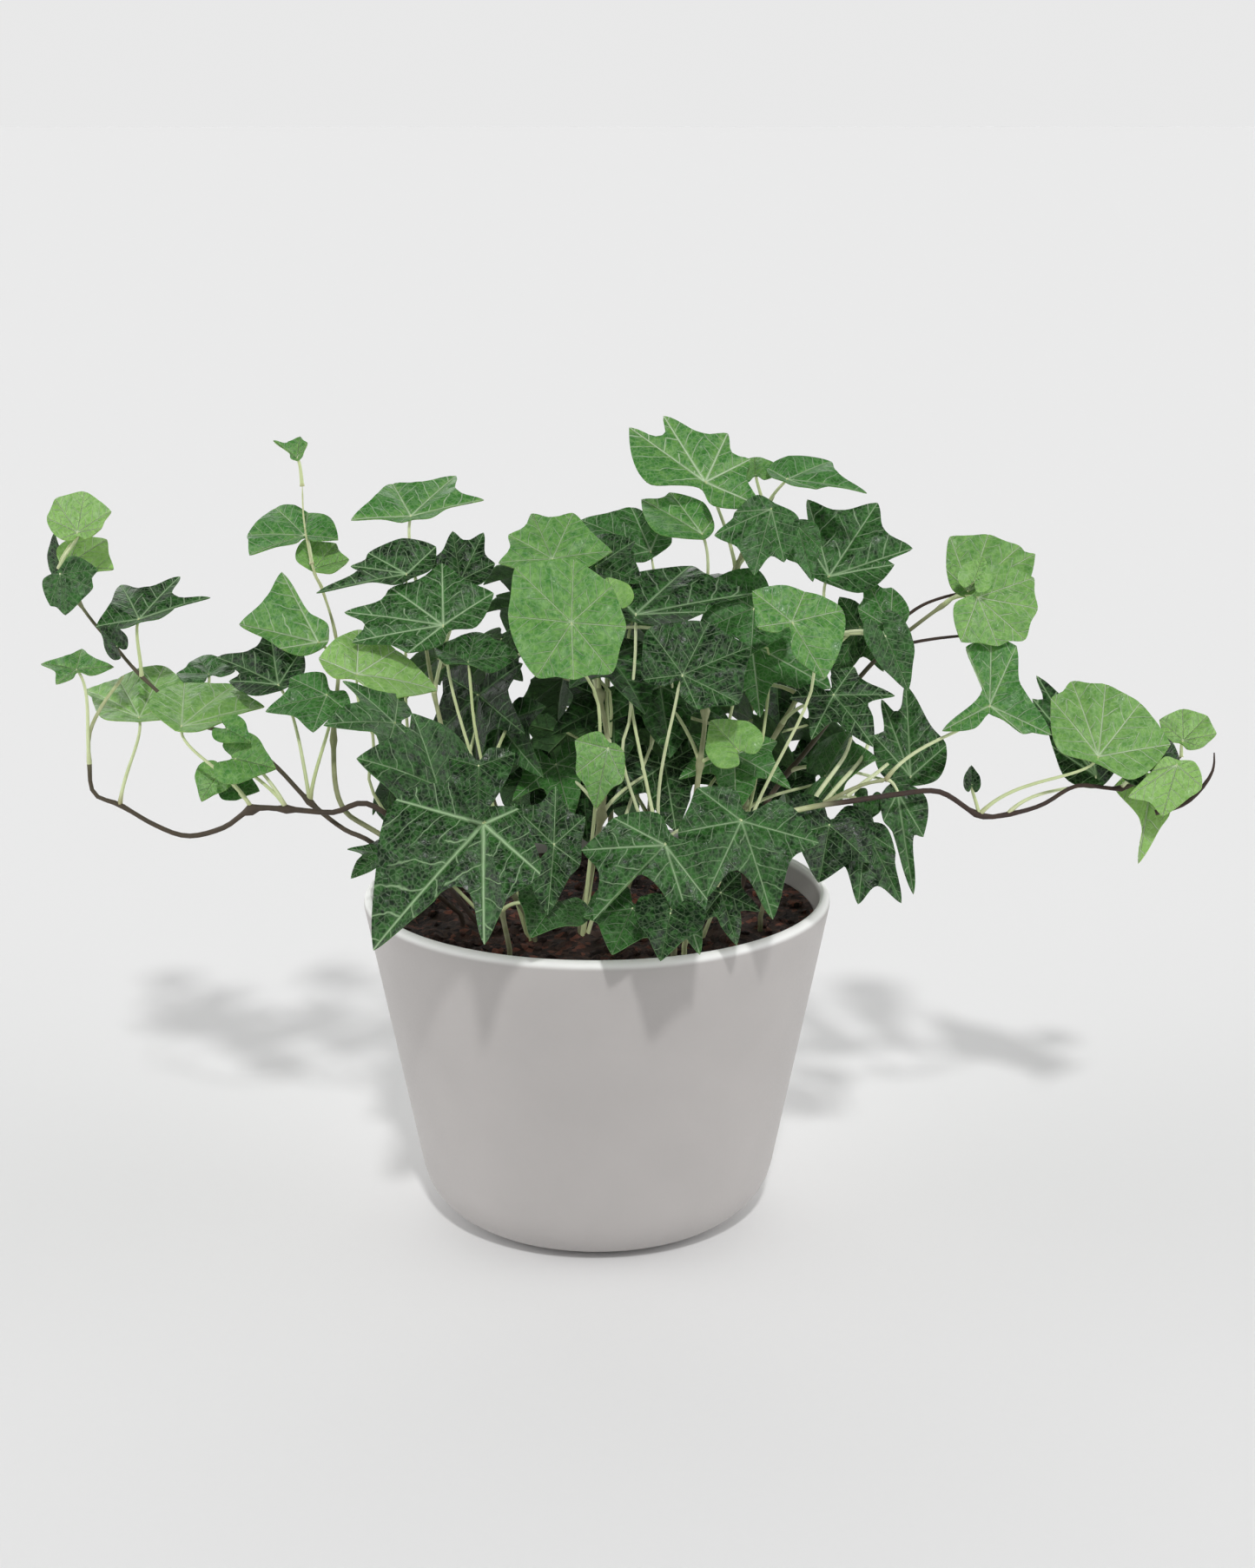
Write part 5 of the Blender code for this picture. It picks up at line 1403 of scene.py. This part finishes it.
def bark_material():
    """Young ivy bark: brown and rough at the foot, greener and smoother towards the growing end."""
    material, tree, shader, place = new_material("young_ivy_bark")
    kind = add_node(tree, "Attribute", {"attribute_name": "stalk_kind"}, output="Vector")
    wood = add_node(tree, "SeparateXYZ", inputs=(kind,), output="Z")
    fleck = add_node(tree, "TexNoise", inputs={"Vector": place, "Scale": 1 / BARK_FLECK, "Detail": 4})
    green = add_node(tree, "Mix", COLOURS, {0: fleck, 6: opaque("#a3ae68"), 7: opaque("#dde3bb")}, 2)
    brown = add_node(tree, "Mix", COLOURS, {0: fleck, 6: opaque("#211613"), 7: opaque("#4a372c")}, 2)
    mixed = add_node(tree, "Mix", COLOURS, {0: wood, 6: green, 7: brown}, 2)
    rough = add_node(tree, "MapRange", inputs=(fleck, *NOISE_RANGE, 0.6, 0.8))
    finish_shader(tree, shader, mixed, rough, fleck, 0.4 * MM)
    return material


def floor_material(colour):
    """Seamless background paper: matt, with hardly any fibre to be seen."""
    material, tree, shader, place = new_material("studio_paper")
    fibre = add_node(tree, "TexNoise", inputs={"Vector": place, "Scale": 1 / PAPER_FIBRE, "Detail": 2})
    lighter = tuple(min(1.0, channel * 1.01) for channel in colour)
    mixed = add_node(tree, "Mix", COLOURS, {0: fibre, 6: (*colour, 1), 7: (*lighter, 1)}, 2)
    rough = add_node(tree, "MapRange", inputs=(fibre, 0.0, 1.0, 0.9, 1.0))
    finish_shader(tree, shader, mixed, rough, fibre, 0.01 * MM, 0.0)
    return material


# The pot and the soil. The rim's rounding is (across, down), on its outer and on its inner side, and the
# soil keeps a slack to the wall.
POT_SIDES = 128
CORNER_STEPS = 8
WALL_STEPS = 10
RIM_STEPS = 6
RIM_OUTER = Vector((2.6 * MM, 3.2 * MM))
RIM_INNER = Vector((1.3 * MM, 1.3 * MM))
SOIL_SIDES = 96
SOIL_RINGS = 34
SOIL_SLACK = 0.35 * MM

# The soil's top: its lumps and its crumbs, each with a height and a size, which fade out over a margin at
# the wall, and loose crumbs, with their sizes in mm
LUMP_HEIGHT = 2.3 * MM
LUMP_SIZE = 14 * MM
CRUMB_HEIGHT = 1.5 * MM
CRUMB_SIZE = 4.5 * MM
SOIL_MARGIN = 9 * MM
CRUMBS = 420
LOOSE_SIZES = (0.8, 2.3)

# The stems and the stalks, slimmer than the CAD model's. A stem swells where a stalk leaves it, and a stalk
# flares at both of its ends: by a share, over a width.
STALK_RINGS = 20
STALK_SIDES = 10
STEM_RINGS = 70
STEM_SIDES = 12
FINE_SPACING = 3 * MM
STEM_SLIMNESS = 0.66
STALK_SLIMNESS = 0.82
NODE_SWELL = 0.32
NODE_WIDTH = 2.2 * MM
FOOT_FLARE = (0.35, 0.07)
BLADE_FLARE = (0.15, 0.05)

# How woody a stem is along its way, from green at 0 to brown bark at 1, as (share of the way, woodiness)
EVENLY_WOODY = ((0.0, 0.75), (1.0, 0.35))
WOODINESS = {
    "ivy_stem_left_low": ((0.0, 1.0), (0.84, 0.95), (0.91, 0.3), (1.0, 0.0)),
    "ivy_stem_left_middle": ((0.0, 1.0), (0.85, 0.9), (0.95, 0.2), (1.0, 0.0)),
    "ivy_stem_left_upper": ((0.0, 0.7), (0.55, 0.5), (0.75, 0.2), (1.0, 0.0)),
    "ivy_stem_right_cluster": ((0.0, 1.0), (0.8, 0.9), (1.0, 0.3)),
    "ivy_stem_right_trailing": ((0.0, 0.0), (0.36, 0.05), (0.42, 1.0), (0.9, 1.0), (1.0, 0.6)),
}

# How a stem narrows, as (share of the way, share of its radius)
EVENLY_NARROWED = ((0.0, 1.0), (0.6, 0.95), (1.0, 0.6))
STEM_ENDS = {
    "ivy_stem_left_upper": ((0.0, 1.0), (0.55, 0.85), (0.8, 0.42), (1.0, 0.24)),
    "ivy_stem_left_middle": ((0.0, 1.0), (0.5, 0.8), (1.0, 0.5)),
}


def wall_line(sizes, inset, steps):
    """The wall's line from the foot up to the rim, that far inside the outer face, as (radius, height)."""
    slope = Vector((sizes.rim_radius - sizes.foot_radius, sizes.height)).normalized()
    outward = Vector((slope.y, -slope.x))
    tangent = sizes.corner_radius / math.tan((math.pi - math.acos(slope.x)) / 2)
    centre = Vector((sizes.foot_radius - tangent, sizes.corner_radius))
    top = Vector((sizes.rim_radius, sizes.height)) - outward * inset
    finish = math.atan2(outward.y, outward.x)
    radius = sizes.corner_radius - inset
    line = []
    for step in range(CORNER_STEPS + 1):
        angle = -math.pi / 2 + (finish + math.pi / 2) * step / CORNER_STEPS
        line.append(centre + Vector((math.cos(angle), math.sin(angle))) * radius)
    start = line[-1]
    return line + [start.lerp(top, step / steps) for step in range(1, steps + 1)]


def rim_arc(corner, radii, start):
    """A quarter of the rim's rounding, turning inwards, under a corner at the top."""
    side = 1 if start == 0 else -1
    centre = corner - Vector((side * radii.x, radii.y))
    arc = []
    for step in range(RIM_STEPS + 1):
        angle = start + math.pi / 2 * step / RIM_STEPS
        arc.append(centre + Vector((math.cos(angle) * radii.x, math.sin(angle) * radii.y)))
    return arc


def drawn_up(sides, line):
    """A closed turned body: a disc is extruded from ring to ring along a line of (radius, height)."""
    deselect()
    first = line[0]
    foot = (0, 0, first[1])
    bpy.ops.mesh.primitive_circle_add(vertices=sides, radius=first[0], fill_type="NGON", location=foot)
    body = bpy.context.object
    bpy.ops.object.transform_apply(location=True, rotation=True, scale=True)
    bpy.ops.object.mode_set(mode="EDIT")
    bpy.ops.mesh.select_mode(type="FACE")
    bpy.ops.mesh.select_all(action="SELECT")
    for (radius, height), (next_radius, next_height) in zip(line, line[1:]):
        bpy.ops.mesh.extrude_region_move(TRANSFORM_OT_translate={"value": (0, 0, next_height - height)})
        wider = next_radius / radius
        bpy.ops.transform.resize(value=(wider, wider, 1), center_override=(0, 0, next_height))
    bpy.ops.mesh.poke()
    bpy.ops.mesh.select_all(action="SELECT")
    bpy.ops.mesh.remove_doubles(threshold=0.001 * MM)
    bpy.ops.mesh.normals_make_consistent(inside=False)
    bpy.ops.object.mode_set(mode="OBJECT")
    return body


def pot_line(sizes):
    """The whole line of the pot: foot, outer wall, rim, inner wall and inner floor."""
    outer = wall_line(sizes, 0.0, WALL_STEPS)
    inner = wall_line(sizes, sizes.wall, WALL_STEPS)
    lean = (sizes.rim_radius - sizes.foot_radius) / sizes.height
    outer_corner = Vector((sizes.rim_radius - lean * RIM_OUTER.y, sizes.height))
    inner_corner = Vector((inner[-1].x - lean * RIM_INNER.y, sizes.height))
    rim = rim_arc(outer_corner, RIM_OUTER, 0.0) + rim_arc(inner_corner, RIM_INNER, math.pi / 2)
    wall = [point for point in outer if point.y < sizes.height - 1.5 * RIM_OUTER.y]
    lining = [point for point in inner if point.y < sizes.height - 1.5 * RIM_INNER.y]
    return [Vector((0.5 * outer[0].x, 0.0))] + wall + rim + lining[::-1] + [Vector((4 * MM, inner[0].y))]


def soil_line(sizes):
    """The whole line of the soil, from below up to its top and in to the middle, and its top's radius."""
    wall = wall_line(sizes, sizes.wall + SOIL_SLACK, WALL_STEPS)
    below = [point for point in wall if point.y < SOIL_TOP - 2 * MM]
    top = wall[-1]
    share = (SOIL_TOP - below[-1].y) / (top.y - below[-1].y)
    edge = below[-1].lerp(top, share)
    rings = [Vector((edge.x * (1 - ring / SOIL_RINGS), SOIL_TOP)) for ring in range(SOIL_RINGS)]
    return [Vector((0.5 * wall[0].x, wall[0].y))] + below + rings, edge.x


def roughen_soil(soil, edge):
    """Lumps and crumbs on the soil's top, lower towards the wall."""
    for vertex in soil.data.vertices:
        place = vertex.co
        if place.z < SOIL_TOP - MM:
            continue
        inside = min(1.0, (edge - math.hypot(place.x, place.y)) / SOIL_MARGIN)
        lump = LUMP_HEIGHT * noise.noise(place / LUMP_SIZE)
        crumb = CRUMB_HEIGHT * noise.fractal(place / CRUMB_SIZE, 1.0, 2.0, 3)
        place.z += inside * (lump + crumb)


def soil_crumbs(edge):
    """Loose crumbs and bark on the soil, each a copy of one rough lump."""
    rng = random.Random(SEED)
    deselect()
    bpy.ops.mesh.primitive_ico_sphere_add(subdivisions=1, radius=1)
    master = bpy.context.object
    crumbs = []
    for _ in range(CRUMBS):
        crumb = copy_of(master)
        reach = edge * math.sqrt(rng.uniform(0, 0.92))
        around = rng.uniform(0, TURN)
        size = rng.uniform(*LOOSE_SIZES) * MM
        flat = rng.uniform(0.45, 1.0)
        long = rng.uniform(1.0, 1.9)
        turned = Matrix.Rotation(rng.uniform(0, TURN), 3, "Z")
        tilted = Matrix.Rotation(rng.uniform(-0.6, 0.6), 3, "X")
        turn = turned @ tilted
        spot = Vector((math.cos(around) * reach, math.sin(around) * reach, SOIL_TOP + size * 0.25))
        for vertex in crumb.data.vertices:
            rough = 1 + rng.uniform(-0.22, 0.22)
            shape = Vector((vertex.co.x * long, vertex.co.y, vertex.co.z * flat)) * size * rough
            vertex.co = spot + turn @ shape
        crumbs.append(crumb)
    remove(master)
    return crumbs


def stem_radii(stem, route, starts):
    """The radius at each ring of a stem: it narrows to its end and swells where a stalk leaves it."""
    centres, _ = along_route(route, STEM_RINGS + 1)
    share = np.linspace(0, 1, STEM_RINGS + 1)
    ends = STEM_ENDS.get(stem.name, EVENLY_NARROWED)
    radii = stem.radius * MM * STEM_SLIMNESS * np.interp(share, *zip(*ends))
    for start in starts:
        far = np.linalg.norm(centres - np.array(start), axis=1)
        radii *= 1 + NODE_SWELL * np.exp(-((far / NODE_WIDTH) ** 2))
    radii[-1] *= 0.35
    return radii


def stalk_radii():
    """The radius at each ring of a leaf's stalk: it flares where it leaves the stem and at the blade."""
    share = np.linspace(0, 1, STALK_RINGS + 1)
    at_foot = FOOT_FLARE[0] * np.exp(-((share / FOOT_FLARE[1]) ** 2))
    at_blade = BLADE_FLARE[0] * np.exp(-(((1 - share) / BLADE_FLARE[1]) ** 2))
    radii = STALK_SLIMNESS * STALK_RADIUS * (1 + (STALK_NARROWING - 1) * share) * (1 + at_foot + at_blade)
    radii[-1] *= 0.5
    return radii


# Long stalks that the picture shows: the blade's hub, and the places that its stalk passes on its way down,
# all as (column, row). SOIL_ROW is the row where they would all reach the root ball.
SOIL_ROW = 1050
PETIOLES = {
    (912, 716): ((936, 788), (870, 930)),
    (866, 742): ((887, 763), (862, 935)),
    (786, 777): ((779, 804), (758, 945)),
    (868, 700): ((843, 815), (827, 897)),
    (732, 706): ((731, 760), (724, 836), (720, 890)),
    (658, 717): ((671, 770), (691, 843)),
    (636, 643): ((682, 770), (704, 830)),
    (510, 719): ((519, 787), (545, 878)),
    (539, 762): ((541, 780), (554, 874)),
    (411, 776): ((412, 808), (431, 852), (436, 925)),
    (455, 832): ((450, 845), (478, 904)),
    (468, 660): ((469, 839), (493, 895)),
    (749, 634): ((775, 804), (756, 843), (722, 935)),
}


# Stalks seen without their leaf, and a blade's curled tip: (places as column, row and depth in mm, the
# radius in mm at the foot and at the end, how woody, how pale)
LOOSE_STALKS = {
    "ivy_stem_right_drooping": (
        (((928, 934, -29), (948, 905, -27), (972, 872, -14), (980, 850, -6)), (0.8, 0.6), 0.0, 1.0),
        (((944, 930, -30), (966, 904, -27), (992, 874, -14), (1002, 850, -6)), (0.8, 0.6), 0.0, 0.9),
        (((975, 917, -29), (990, 905, -27), (1006, 893, -20), (1022, 880, -14)), (0.8, 0.6), 0.0, 0.95),
    ),
    "ivy_stem_right_trailing": (
        # A blade's curled tip seen edge-on from below, drawn as a thin woody tube: its dark bark colour is
        # painted shade of the lobe's underside
        (
            ((1330, 936, -18), (1362, 926, -19), (1385, 906, -20), (1397, 886, -19), (1398, 867, -17)),
            (1.0, 0.25), 1.0, 0.0,
        ),
    ),
    "ivy_stem_right_cluster": (
        (
            ((1018, 728, 2), (1040, 712, 4), (1062, 697, 6), (1086, 688, 6), (1107, 683, 4)),
            (0.6, 0.5), 1.0, 0.4,
        ),
        (((1010, 757, 0), (1040, 743, 2), (1074, 736, 4), (1110, 732, 2)), (0.6, 0.5), 1.0, 0.4),
    ),
}


def loose_stalks(stem, master):
    """The loose stalks of a stem, which narrow past their first part."""
    parts = []
    share = np.linspace(0, 1, STALK_RINGS + 1)
    for places, radii, wood, pale in LOOSE_STALKS.get(stem.name, ()):
        seen = [seen_at(column, row, depth * MM) for column, row, depth in places]
        route = smooth_route(seen, FINE_SPACING)
        widths = np.interp(share, (0.0, 0.4, 1.0), (radii[0], radii[0], radii[1]))
        part = bent_tube(master, STALK_RINGS, route, widths * MM, pale, np.full(STALK_RINGS + 1, wood))
        part.data.materials.append(bpy.data.materials["young_ivy_bark" if wood else "fresh_leaf_stalk"])
        parts.append(part)
    return parts


def petiole_route(leaf, hub, root):
    """The way of a long stalk that the picture shows, from the root ball up to its blade."""
    foot = Vector((root[0] * MM, root[1] * MM, SOIL_TOP - ROOT_DEPTH / 2))
    way = [foot]
    for column, row in reversed(PETIOLES[leaf.hub]):
        share = (row - leaf.hub[1]) / (SOIL_ROW - leaf.hub[1])
        way.append(seen_at(column, row, hub.y + (foot.y - hub.y) * share))
    return smooth_route(way + [hub], FINE_SPACING)


def make_stalks(stem, leaves, masters, rng):
    """A stem and its leaf stalks as one piece."""
    route = stem_route(stem, FINE_SPACING)
    wood = np.interp(np.linspace(0, 1, STEM_RINGS + 1), *zip(*WOODINESS.get(stem.name, EVENLY_WOODY)))
    radii = stem_radii(stem, route, [start for _, start, _ in leaves])
    parts = [bent_tube(masters["stem"], STEM_RINGS, route, radii, rng.uniform(0, 1), wood)]
    table = list(stem.leaves) + [None] * len(leaves)
    for leaf, (blade, start, bow) in zip(table, leaves):
        if leaf and leaf.hub in PETIOLES:
            stalk = petiole_route(leaf, blade.hub, stem.root)
        else:
            stalk = stalk_route(start, blade, bow, STALK_RINGS + 1)
        pale = rng.uniform(0.35, 1.0)
        reddish = np.full(STALK_RINGS + 1, rng.uniform(0.1, 1.0))
        parts.append(bent_tube(masters["stalk"], STALK_RINGS, stalk, stalk_radii(), pale, reddish))
    for index, part in enumerate(parts):
        part.data.materials.append(bpy.data.materials["young_ivy_bark"])
        part.data.materials.append(bpy.data.materials["fresh_leaf_stalk"])
        part.data.polygons.foreach_set("material_index", [min(index, 1)] * len(part.data.polygons))
    return parts + loose_stalks(stem, masters["stalk"])


def make_blades(stem, leaves, masters, rng):
    """The blades of a stem. Those past the end of its table are filling."""
    blades = []
    for index, (blade, _, _) in enumerate(leaves):
        leaf = fine_blade(masters["sheet"], masters["corners"], blade, rng, index >= len(stem.leaves))
        leaf.data.materials.append(bpy.data.materials["waxy_ivy_leaf"])
        leaf.data.materials.append(bpy.data.materials["ivy_leaf_underside"])
        blades.append(leaf)
    return blades


# The key light is a sun that is spread out: its height and its turn to the side, and its width, in degrees
KEY_HEIGHT = 46
KEY_SIDE = 3.5
KEY_SPREAD = 4

# The spans of a direction's y, x or z over which one wall of light passes into the next
TO_THE_BACK = (0.3, 0.9)
TO_THE_SIDES = (0.6, 0.95)
TO_THE_TOP = (0.45, 0.95)
OVER_THE_HORIZON = (0.07, 0.18)


def studio_world(look):
    """Even white walls of light: bright at the sides and the back, dim on the camera's side and above."""
    world = bpy.data.worlds.new("studio")
    world.use_nodes = True
    tree = world.node_tree
    plain = {"data_type": "FLOAT"}
    ray = add_node(tree, "TexCoord", output="Generated")
    way = add_node(tree, "SeparateXYZ", inputs=(ray,)).node.outputs
    across = add_node(tree, "Math", {"operation": "ABSOLUTE"}, (way["X"],))
    behind = add_node(tree, "MapRange", SMOOTH, (way["Y"], *TO_THE_BACK, look.front, look.back))
    beside = add_node(tree, "MapRange", SMOOTH, (across, *TO_THE_SIDES, 0.0, 1.0))
    up = add_node(tree, "MapRange", SMOOTH, (way["Z"], *TO_THE_TOP, 0.0, 1.0))
    over = add_node(tree, "MapRange", SMOOTH, (way["Z"], *OVER_THE_HORIZON, 0.0, 1.0))
    walls = add_node(tree, "Mix", plain, {0: beside, 2: behind, 3: look.sides})
    room = add_node(tree, "Mix", plain, {0: up, 2: walls, 3: look.above})
    light = add_node(tree, "Mix", plain, {0: over, 2: look.horizon, 3: room})
    backdrop = tree.nodes["Background"]
    tree.links.new(light, backdrop.inputs["Strength"])
    backdrop.inputs["Color"].default_value = (1, 1, 1, 1)
    return world


def length_setting(name, description, default):
    return bpy.props.FloatProperty(name=name, description=description, default=default, unit="LENGTH")


def light_setting(name, description, default):
    return bpy.props.FloatProperty(name=name, description=description, default=default)


def colour_setting(name, description, code):
    return bpy.props.FloatVectorProperty(
        name=name, description=description, default=linear(code), subtype="COLOR"
    )


class PotSizes(bpy.types.PropertyGroup):
    height: length_setting("Height", "The pot's height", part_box("pot")[1].z)
    rim_radius: length_setting("Rim radius", "The pot's outer radius at its rim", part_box("pot")[1].x)
    foot_radius: length_setting("Foot radius", "Where the wall's line meets the floor", 61 * MM)
    corner_radius: length_setting("Corner radius", "The rounding between the wall and the foot", 24 * MM)
    wall: length_setting("Wall", "The thickness of the pot's wall", 4 * MM)
    colour: colour_setting("Colour", "The plastic's colour", "#b4b0ae")


class LeafLook(bpy.types.PropertyGroup):
    thickness: length_setting("Thickness", "The thickness of a blade", 0.45 * MM)
    seed: bpy.props.IntProperty(
        name="Seed", description="Chooses the waves and the shades of the leaves", default=11
    )


class StageLook(bpy.types.PropertyGroup):
    floor_colour: colour_setting("Floor", "The floor's colour", "#ebebeb")
    horizon: light_setting("Horizon", "The light at the horizon", 0.812)
    front: light_setting("Front", "The light from the camera's side", 0.4)
    back: light_setting("Back", "The light from the back", 2.1)
    sides: light_setting("Sides", "The light from the sides", 2.8)
    above: light_setting("Above", "The light from above", 0.06)
    key_strength: light_setting("Key", "The soft light from above the camera", 1.3)


class SCENE_OT_ivy_pot(bpy.types.Operator):
    """Makes the moulded pot"""

    bl_idname = "scene.ivy_pot"
    bl_label = "Pot"

    def execute(self, context):
        sizes = context.scene.ivy_pot_sizes
        pot = drawn_up(POT_SIDES, pot_line(sizes))
        pot.name = pot.data.name = "plastic_pot"
        pot.data.materials.append(pot_material(tuple(sizes.colour), sizes.height))
        smooth(pot, 40)
        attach(pot, "root")
        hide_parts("pot")
        return {"FINISHED"}


class SCENE_OT_ivy_soil(bpy.types.Operator):
    """Makes the potting soil with its crumbs"""

    bl_idname = "scene.ivy_soil"
    bl_label = "Potting soil"

    def execute(self, context):
        line, edge = soil_line(context.scene.ivy_pot_sizes)
        soil = drawn_up(SOIL_SIDES, line)
        roughen_soil(soil, edge)
        soil = joined("peat_soil", [soil] + soil_crumbs(edge))
        soil.data.materials.append(soil_material())
        smooth(soil, 50)
        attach(soil, "root")
        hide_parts("potting_soil")
        return {"FINISHED"}


class SCENE_OT_ivy_stems(bpy.types.Operator):
    """Makes the stems with their stalks, and their leaves"""

    bl_idname = "scene.ivy_stems"
    bl_label = "Leafy stems"

    def execute(self, context):
        look = context.scene.ivy_leaf_look
        upper = (("#09210a", "#427c36", "#8fbd64"), ("#a3c494", "#e3f0d4"))
        lower = (("#3a5a34", "#5f8f4c", "#a3c86c"), ("#84a070", "#c2d69c"))
        leaf_material("waxy_ivy_leaf", *upper, vein_share=0.95, gloss=0.35, relief=-0.5)
        leaf_material("ivy_leaf_underside", *lower, vein_share=0.6, gloss=0.6, relief=1.2)
        stalk_material()
        bark_material()
        sheet = round_sheet()
        masters = {
            "sheet": sheet,
            "corners": faces_of_gaps(sheet.data, SPOKES),
            "stem": straight_tube(STEM_SIDES, STEM_RINGS),
            "stalk": straight_tube(STALK_SIDES, STALK_RINGS),
        }
        rng = random.Random(look.seed)
        layout = plant_layout(frame["nodes"]["pot"], frame["nodes"]["potting_soil"])
        for stem, leaves in zip(STEMS, layout):
            short = stem.name.replace("ivy_stem_", "")
            stalks = joined("stalks_" + short, make_stalks(stem, leaves, masters, rng))
            blades = joined("leaves_" + short, make_blades(stem, leaves, masters, rng))
            underside = {"material_offset": 1, "material_offset_rim": 1}
            apply_modifier(blades, "SOLIDIFY", thickness=look.thickness, offset=0, **underside)
            smooth(stalks, 60)
            smooth(blades, 50)
            for piece in (stalks, blades):
                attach(piece, "root")
                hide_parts(stem.name)
        for master in ("sheet", "stem", "stalk"):
            remove(masters[master])
        return {"FINISHED"}


class SCENE_OT_ivy_stage(bpy.types.Operator):
    """Makes the floor, the soft studio light and the camera"""

    bl_idname = "scene.ivy_stage"
    bl_label = "Stage"

    def execute(self, context):
        look = context.scene.ivy_stage_look
        deselect()
        bpy.ops.mesh.primitive_plane_add(size=60)
        floor = context.object
        floor.name = "floor"
        floor.data.materials.append(floor_material(tuple(look.floor_colour)))
        context.scene.world = studio_world(look)
        context.scene.view_settings.view_transform = "Standard"
        turned = (math.radians(90 - KEY_HEIGHT), 0, math.radians(KEY_SIDE))
        bpy.ops.object.light_add(type="SUN", rotation=turned)
        key = context.object
        key.name = "key"
        key.data.energy = look.key_strength
        key.data.angle = math.radians(KEY_SPREAD)
        bpy.ops.object.camera_add(location=EYE)
        camera = context.object
        camera.rotation_euler = (EYE_AIM - EYE).to_track_quat("-Z", "Y").to_euler()
        camera.data.sensor_width = 36
        camera.data.lens = FOCAL_PIXELS / (2 * PICTURE_CENTRE[1]) * camera.data.sensor_width
        camera.data.clip_start = 10 * MM
        context.scene.camera = camera
        return {"FINISHED"}


class VIEW3D_PT_potted_ivy(bpy.types.Panel):
    bl_label = "Potted ivy"
    bl_space_type = "VIEW_3D"
    bl_region_type = "UI"
    bl_category = "Potted ivy"

    def draw(self, context):
        scene = context.scene
        for group in (scene.ivy_pot_sizes, scene.ivy_leaf_look, scene.ivy_stage_look):
            for name in group.bl_rna.properties.keys():
                if name not in ("rna_type", "name"):
                    self.layout.prop(group, name)
        for operator in OPERATORS:
            self.layout.operator(operator.bl_idname)


OPERATORS = (SCENE_OT_ivy_pot, SCENE_OT_ivy_soil, SCENE_OT_ivy_stems, SCENE_OT_ivy_stage)
CLASSES = (PotSizes, LeafLook, StageLook, *OPERATORS, VIEW3D_PT_potted_ivy)


def register():
    for kind in CLASSES:
        bpy.utils.register_class(kind)
    bpy.types.Scene.ivy_pot_sizes = bpy.props.PointerProperty(type=PotSizes)
    bpy.types.Scene.ivy_leaf_look = bpy.props.PointerProperty(type=LeafLook)
    bpy.types.Scene.ivy_stage_look = bpy.props.PointerProperty(type=StageLook)


def unregister():
    del bpy.types.Scene.ivy_stage_look
    del bpy.types.Scene.ivy_leaf_look
    del bpy.types.Scene.ivy_pot_sizes
    for kind in reversed(CLASSES):
        bpy.utils.unregister_class(kind)


def write_sizes():
    """Brings the placements of all pieces up to date."""
    bpy.context.view_layer.update()


def main():
    register()
    bpy.ops.scene.ivy_pot()
    bpy.ops.scene.ivy_soil()
    bpy.ops.scene.ivy_stems()
    bpy.ops.scene.ivy_stage()
    write_sizes()


if __name__ == "__main__":
    main()
